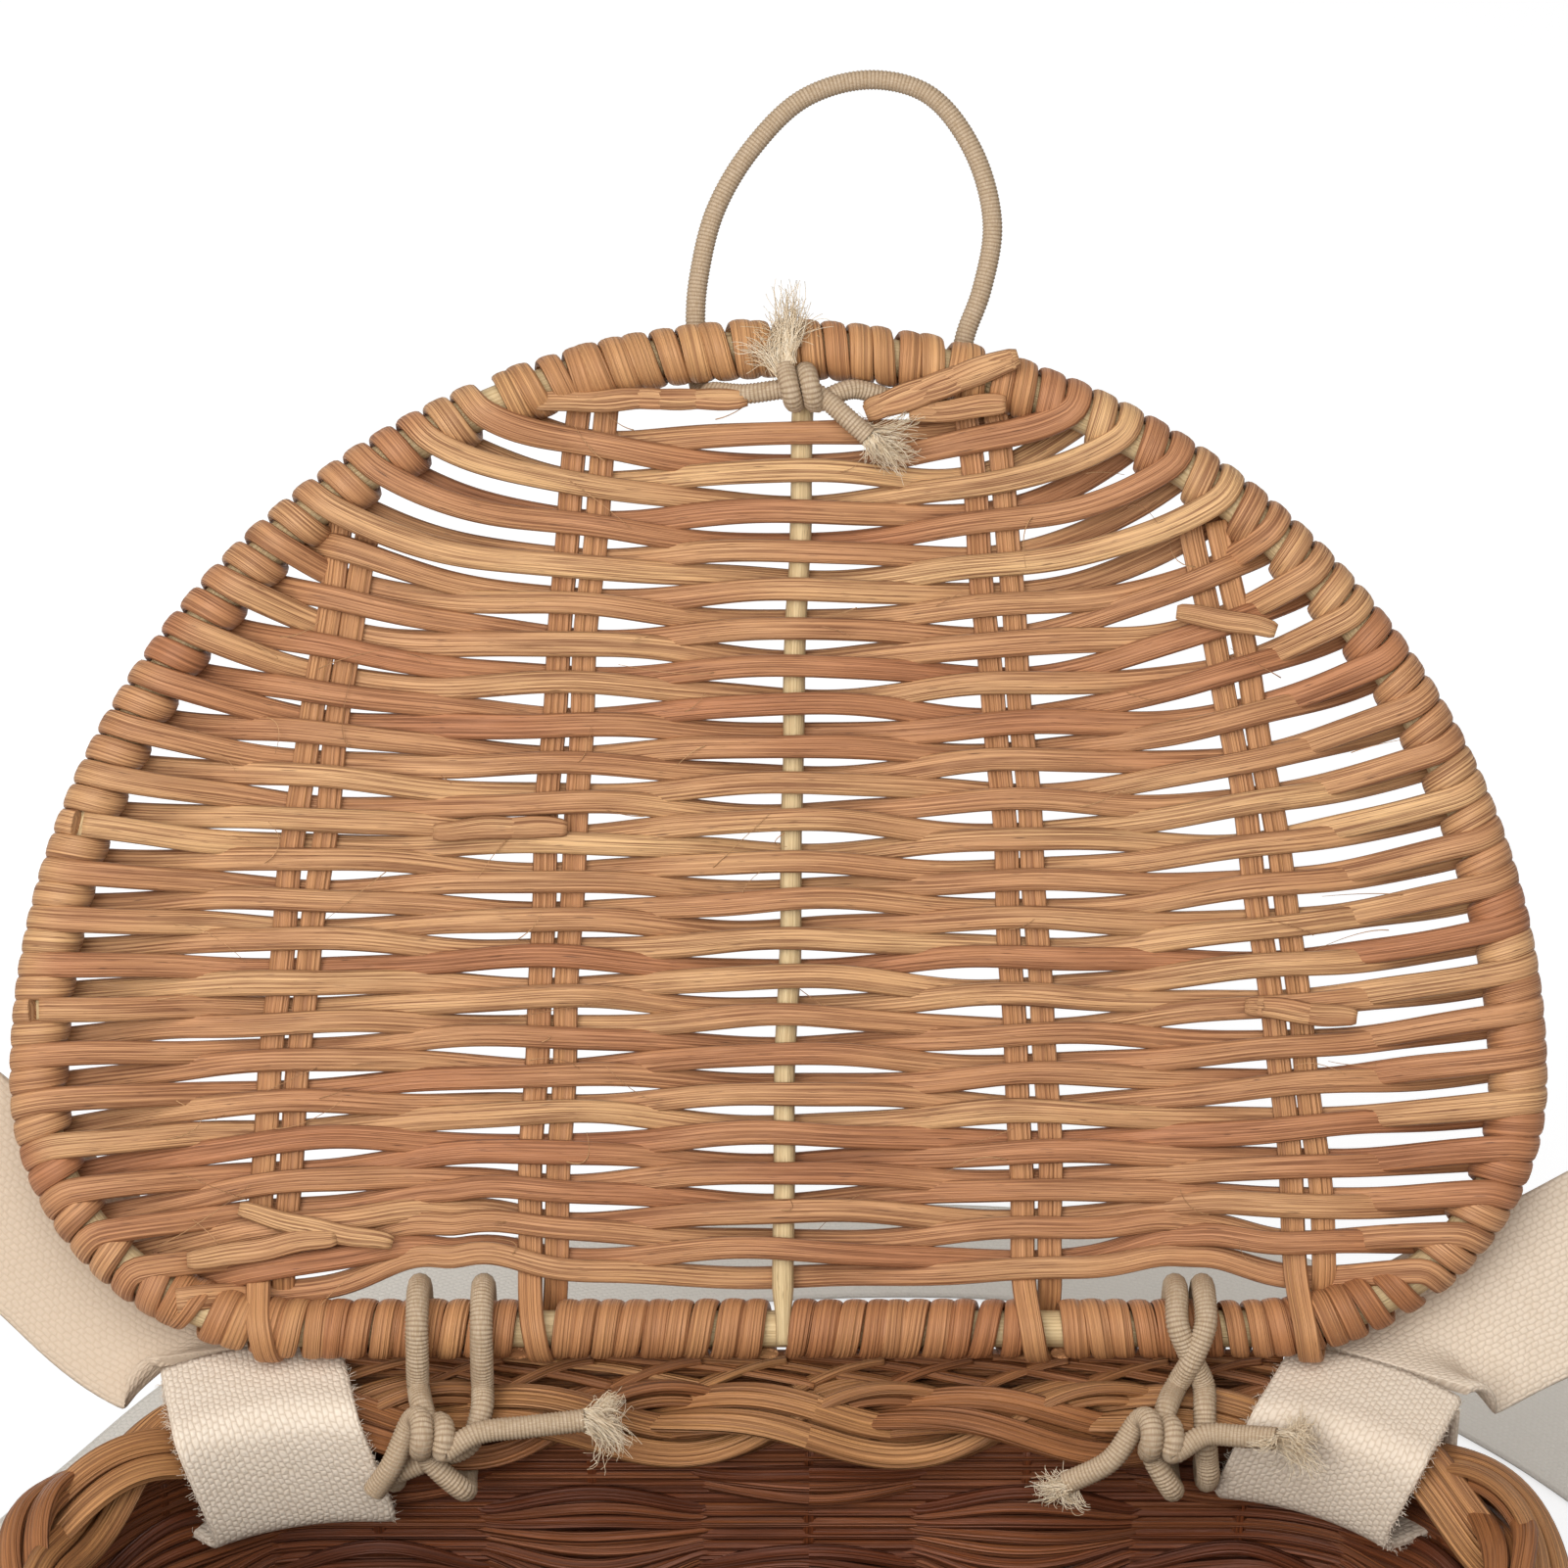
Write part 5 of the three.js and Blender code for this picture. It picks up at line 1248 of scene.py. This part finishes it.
class BAG_OT_ties(bpy.types.Operator):
    """Tie the lid's hoop to the rim with two knotted lengths of elastic"""

    bl_idname = "bag.ties"
    bl_label = "Hinge ties"

    def execute(self, context):
        rng = np.random.default_rng(SEED + 4)
        for name, tie, tails in (("left", LEFT_TIE, LEFT_TAILS), ("right", RIGHT_TIE, RIGHT_TAILS)):
            self.add_tie(name, tie, tails, rng)
        return {"FINISHED"}

    @staticmethod
    def tie_turn(over, under, inside, cross):
        """One turn over the hoop and under the rim."""
        radius, slant = TIE_RADIUS, TIE_RADIUS * math.sqrt(0.5)
        _, y, z = HINGE
        return [(over + cross, y - radius - 0.8, z - radius * 0.75),
                (over + cross * 0.5, y - radius - (0.8 if cross < 0 else 0), z),
                (over, y - slant, z + slant), (over, y, z + radius),
                (over, y + slant, z + slant), (over, y + radius, z),
                (over, TIE_OUTSIDE + 1.5, RIM_MIDDLE + 4), (under, TIE_OUTSIDE, RIM_MIDDLE - 4),
                (under, RIM_BACK + 6.3, TIE_HEIGHT + 0.5), (under, RIM_BACK, TIE_HEIGHT),
                (under, RIM_BACK - 6.3, TIE_HEIGHT + 0.5), (under, inside, RIM_MIDDLE - 4)]

    def add_tie(self, name, tie, tails, rng):
        """Two turns round the hoop and the rim, then a knot that curls round itself between its tails."""
        elastic = settings("bag_cord").tie / MM
        (first, second), (first_under, second_under), knot = tie["over"], tie["under"], tie["knot"]
        top = RIM_TOP + tie["rise"]
        cross = max(0, first - second)
        rising = second + cross - first_under
        points = [
            (knot + 0.6, KNOT_Y + 0.6, top - 0.6),
            (knot * 0.5 + (first - cross) * 0.5, KNOT_Y + 4.4, RIM_TOP + 2.3),
            *self.tie_turn(first, first_under, TIE_INSIDE, -cross),
            (first_under + rising * 0.45, TIE_INSIDE, RIM_MIDDLE - 0.5),
            (first_under + rising * 0.85, TIE_INSIDE, RIM_MIDDLE + 2.5),
            (second + cross, RIM_BACK - 5.8, RIM_TOP + 0.8),
            *self.tie_turn(second, second_under, KNOT_INSIDE, cross),
            (second_under + (knot - second_under) * 0.6, KNOT_INSIDE, RIM_MIDDLE - 0.5),
            (knot, KNOT_Y - 0.2, top - 4.4),
            (knot, KNOT_Y, top - 1),
        ]
        strips = Strips()
        add_cord(strips, np.array(points) + (tie["middle"], 0, 0), elastic, rng)
        strips.build(f"hinge_elastic_{name}", "covered_elastic", "basket", f"hinge_tie_{name}")
        center = np.array((tie["middle"] + knot, KNOT_Y, top))
        angle = np.arange(13) * math.pi / 4
        deep, high = KNOT_CURL
        along = (angle / (2 * math.pi) - 0.75) * elastic
        curl = np.stack((along, deep * np.cos(angle), high * np.sin(angle)), axis=1)
        cos, sin = math.cos(KNOT_LEAN), math.sin(KNOT_LEAN)
        curl[:, [0, 2]] = curl[:, [0, 2]] @ ((cos, -sin), (sin, cos))
        path = np.concatenate((tails[0], curl, tails[1])) + center
        strips = Strips()
        laid = add_cord(strips, path, elastic, rng)
        roof = KNOT_ROOF * UP, UP
        if tie["middle"] > 0:
            add_fray(strips, laid[0], unit(laid[0] - laid[8]), rng, 300, 6.5, 0.34, roof)
        add_fray(strips, laid[-1], unit(laid[-1] - laid[-9]), rng, 400, 9.5, 0.36, roof)
        strips.build(f"hinge_knot_elastic_{name}", "covered_elastic", "basket", f"hinge_knot_{name}")


class BAG_OT_walls(bpy.types.Operator):
    """Weave the basket's floor and wall"""

    bl_idname = "bag.walls"
    bl_label = "Walls"

    def execute(self, context):
        basket = Basket()
        rng = np.random.default_rng(SEED + 5)
        self.add_base(basket, rng)
        self.add_stakes(basket, rng)
        for index in range(BAND_COUNT):
            self.add_band(basket, index, BAND_START + index * BAND_PITCH + BAND_MIDDLE, *BAND_REEDS, rng)
        self.add_band(basket, BAND_COUNT, TOP_BAND, *TOP_BAND_REEDS, rng)
        return {"FINISHED"}

    def add_base(self, basket, rng):
        """A cane hoop, and inside it flat reeds woven over and under each other."""
        path, out = basket.wall(basket.outline.round(240), -4.6, FLOOR_LEVEL)
        strips = Strips().add(path, out, oval(BASE_HOOP, BASE_HOOP, 12, 2), 0.4, closed=True)
        strips.build("base_hoop_cane", "peeled_cane", "basket", "base_hoop")
        edge, _ = basket.wall(np.linspace(0, basket.outline.length, 800), -8.0, FLOOR_LEVEL)
        strips = Strips()
        section = oval(*FLOOR_REED, 10, 5)
        for axis, pitch in enumerate(FLOOR_PITCHES):
            beside = edge[:, 1 - axis]
            for number, line in enumerate(np.arange(beside.min() + 4, beside.max() - 4, pitch)):
                near = edge[np.abs(beside - line) < 1.5][:, axis]
                if len(near) < 2 or near.max() - near.min() < 20:
                    continue
                run = np.linspace(near.min() - 1, near.max() + 1, 70)
                sway = 0.95 * np.cos(math.pi * (run / FLOOR_PITCHES[1] + number)) if axis == 0 else 0.0
                path = np.empty((70, 3))
                path[:, axis], path[:, 1 - axis], path[:, 2] = run, line, FLOOR_LEVEL + sway
                strips.add(path, UP, section, rng.uniform())
        strips.build("base_floor_weave", "wall_weaving_reed", "basket", "base_floor")

    def add_stakes(self, basket, rng):
        """Each reed stands as two neighbouring stakes joined by its foot."""
        height = np.linspace(WALL_TOP, 6, 60)
        for pair in range(STAKE_COUNT // 2):
            first = 2 * pair * basket.spacing
            second = first + basket.spacing
            foot = np.linspace(0.06, 0.94, 24)
            arcs = np.concatenate((np.full(60, first), first + basket.spacing * foot, np.full(60, second)))
            levels = np.concatenate((height, np.full(24, STAKE_FOOT), height[::-1]))
            path, out = basket.wall(arcs, 0.0, levels)
            smooth(path, 4)
            strips = Strips().add(path, out, oval(*WALL_STAKE, 10, 3), rng.uniform(0.6, 1))
            strips.build(f"wall_upright_{pair + 1}", "wall_weaving_reed", "basket", f"wall_stakes_{pair + 1}")

    def add_band(self, basket, index, middle, reeds, pitch, rng):
        """A bundle of thin reeds that passes inside one stake and outside the next, as a cosine of the way
        round. It fans out where it passes a stake, so that it hides it, and draws together between stakes."""
        arcs = basket.outline.round(360)
        turn = 2 * math.pi * arcs / basket.outline.length
        swing = np.cos(math.pi * arcs / basket.spacing + math.pi * index)
        fan = 1 + np.abs(swing) ** 1.3
        section = oval(basket.reed_height, basket.reed_thickness, 8, 2.4)
        strips = Strips()
        for reed in range(reeds):
            level = (reed - (reeds - 1) / 2) * pitch
            height = middle + level * fan + wander(rng, turn, 0.16, (5, 9, 14, 23))
            path, out = basket.wall(arcs, basket.lift * swing + rng.normal(0, 0.15), height)
            strips.add(path, out, section, rng.uniform(), closed=True)
        if index < BAND_COUNT:
            self.add_rounds(strips, basket, middle + BAND_FILLING * np.arange(-2, 3), section, rng)
        else:
            self.close_gaps(strips, basket, section, rng)
        name = f"{index + 1:02d}"
        strips.build(f"wall_reeds_{name}", "wall_weaving_reed", "basket", f"wall_band_{name}")

    def close_gaps(self, strips, basket, section, rng):
        """Reeds beside the openings that the strap, the ties and the button's cord pass through."""
        length = basket.outline.length
        front = length / 2 - PATTERN_SHIFT
        low = ((-71, 71), (107, front - 14), (front - 6, length - 107))
        for level in (-1.9, 0, 1.9):
            for start, end in low:
                arcs = np.linspace(start, end, max(4, int((end - start) / 3)))
                path, out = basket.wall(arcs, 0.0, PASS_HEIGHT + level + waver(rng, arcs, 0.2, 80))
                strips.add(path, out, section, rng.uniform())
        self.add_rounds(strips, basket, np.arange(TOP_BAND - 1.2, WALL_TOP + 2, 1.9), section, rng)

    @staticmethod
    def add_rounds(strips, basket, heights, section, rng):
        """Reeds that run round in the middle of the wall."""
        for height in heights:
            path, out = basket.wall(basket.outline.round(240), 0.0, height)
            strips.add(path, out, section, rng.uniform(), closed=True)


class BAG_OT_rim(bpy.types.Operator):
    """Plait the rim from three strands of flat reeds"""

    bl_idname = "bag.rim"
    bl_label = "Rim"

    def execute(self, context):
        basket = Basket()
        rng = np.random.default_rng(SEED + 6)
        arcs = basket.outline.round(420)
        turn = 2 * math.pi * arcs / basket.outline.length
        at, along, out = basket.rim(arcs)
        slope = 2 * math.pi * PLAIT_TURNS / basket.outline.length
        for strand in range(3):
            phase = 0.75 * math.pi + PLAIT_TURNS * turn + 2 * math.pi * strand / 3
            lean = unit(along + out * (PLAIT_SWAY * slope * np.cos(phase))[:, None]
                        + UP * (6.6 * slope * np.cos(2 * phase))[:, None])
            facing = unit(UP + out * (0.75 * np.sin(phase))[:, None])
            facing = unit(facing - lean * (facing * lean).sum(axis=1, keepdims=True))
            beside = np.cross(facing, lean)
            height = RIM_MIDDLE + 0.2 + PLAIT_RISE * np.sin(2 * phase)
            middle = at + out * (PLAIT_SWAY * np.sin(phase))[:, None] + UP * height[:, None]
            strips = Strips()
            for across, above in PLAIT_REEDS:
                aside = wander(rng, turn, 0.14, (4, 9, 15))
                path = middle + beside * (across + aside)[:, None] + facing * (above + aside * 0.5)[:, None]
                section = oval(rng.uniform(4.1, 4.7), rng.uniform(1.9, 2.3), 12, 2.3)
                strips.add(path, facing, section, rng.uniform(), closed=True)
            if strand == 0:
                self.add_risers(strips, basket, rng)
            strips.build(f"rim_plait_{strand + 1}", "rim_plait_reed", "basket", f"rim_strand_{strand + 1}")
        return {"FINISHED"}

    @staticmethod
    def add_risers(strips, basket, rng):
        """Ends of reeds that rise out of the plait behind the lid's hoop and sink into it again, and reeds
        that run on behind them."""
        share = np.linspace(0, 1, 30)
        for start in np.arange(-80, 60, 15.5):
            for length, low, high, ease in ((34, 3.6, RIM_BEHIND, share), (15, 2.6, 7.4, 1 - share)):
                arcs = start + rng.uniform(-2, 2) + length * share
                at, _, out = basket.rim(arcs)
                outward = high - (high - low) * ease**2
                level = RIM_MIDDLE + 6.2 - 2.4 * ease + waver(rng, arcs, 0.2, 30)
                path = at + out * outward[:, None] + UP * level[:, None]
                strips.add(path, out * 0.5 + UP, oval(*RISER_REED, 10, 2.4), rng.uniform())
        arcs = np.linspace(*RIM_BACKING, 90)
        at, _, out = basket.rim(arcs)
        for level in BACKING_LEVELS:
            height = RIM_MIDDLE + level + waver(rng, arcs, 0.3, 50)
            path = at + out * RIM_BEHIND + UP * height[:, None]
            strips.add(path, out, oval(*BACKING_REED, 10, 2.4), rng.uniform(0.6, 1))


class BAG_OT_button(bpy.types.Operator):
    """Turn the wooden button at the front and its cord through the wall"""

    bl_idname = "bag.button"
    bl_label = "Button"

    def execute(self, context):
        middle = sum(corner.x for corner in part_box("closure_button")) / 2 / MM
        _, high = (np.array(corner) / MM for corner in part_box("closure_button"))
        turned = ((1.9, 0), (6.2, 0), (7.4, 0.5), (8, 1.6), (8, 3.2), (7.5, 4.4), (6.6, 5), (5.6, 4.9),
                  (4.6, 4.0), (3.2, 3.6), (1.9, 3.5))
        place = middle, high[1], PASS_HEIGHT
        self.lathe("button_turned", place, turned, "turned_button", "closure_button")
        low, high = (np.array(corner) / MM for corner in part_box("closure_button_cord"))
        deep = high[1] - low[1]
        knotted = ((0.05, 0), (2.2, 0.2), (3.1, 1.2), (3.1, 2.2), (2.4, 3.1), (1.6, 3.3), (1.6, deep - 1.2),
                   (1.3, deep - 0.4), (0.05, deep))
        place = middle, high[1], PASS_HEIGHT
        self.lathe("button_elastic", place, knotted, "covered_elastic", "closure_button_cord")
        return {"FINISHED"}

    @staticmethod
    def lathe(name, place, profile, material, node):
        """A profile of radius and depth turned round a line that runs to the front."""
        profile = resample(curve_through(profile, 6), 0.35)
        angle = np.linspace(0, 2 * math.pi, 49)[:-1]
        radius, depth = profile[:, 0], profile[:, 1]
        rings = np.stack((radius[None] * np.cos(angle)[:, None], np.broadcast_to(-depth, (48, len(depth))),
                          radius[None] * np.sin(angle)[:, None]), axis=-1) + np.array(place)
        arcs = np.append(angle, 2 * math.pi) * 4
        around = np.append(arc_lengths(profile), 0)
        strips = Strips().add_rings(rings, arcs, around, 0.5, np.zeros(len(profile)), closed=True)
        strips.build(name, material, "basket", node)


class BAG_PT_panel(bpy.types.Panel):
    """Buttons that build the bag, and its settings"""

    bl_idname = "BAG_PT_panel"
    bl_label = "Rattan shoulder bag"
    bl_space_type = "VIEW_3D"
    bl_region_type = "UI"
    bl_category = "Bag"

    def draw(self, context):
        for operator in OPERATORS:
            self.layout.operator(operator.bl_idname)
        for name in SETTINGS:
            group = settings(name)
            for key in group.__annotations__:
                self.layout.prop(group, key)


SETTINGS = {"bag_lid": BagLidSettings, "bag_basket": BagBasketSettings, "bag_cord": BagCordSettings,
            "bag_finish": BagFinishSettings, "bag_stage": BagStageSettings}
OPERATORS = (BAG_OT_stage, BAG_OT_strap, BAG_OT_lid_frame, BAG_OT_lid_weave, BAG_OT_lid_lashings,
             BAG_OT_closure, BAG_OT_ties, BAG_OT_walls, BAG_OT_rim, BAG_OT_button)
CLASSES = (*SETTINGS.values(), *OPERATORS, BAG_PT_panel)


def register():
    """Registers the classes and puts the settings on the scene."""
    for kind in CLASSES:
        bpy.utils.register_class(kind)
    for name, kind in SETTINGS.items():
        setattr(bpy.types.Scene, name, PointerProperty(type=kind))


def unregister():
    """Takes the settings off the scene and unregisters the classes."""
    for name in SETTINGS:
        delattr(bpy.types.Scene, name)
    for kind in reversed(CLASSES):
        bpy.utils.unregister_class(kind)


def main():
    """Builds the camera and light, the strap, then the rest of the bag."""
    register()
    for operator in OPERATORS:
        group, call = operator.bl_idname.split(".")
        getattr(getattr(bpy.ops, group), call)()


if __name__ == "__main__":
    main()
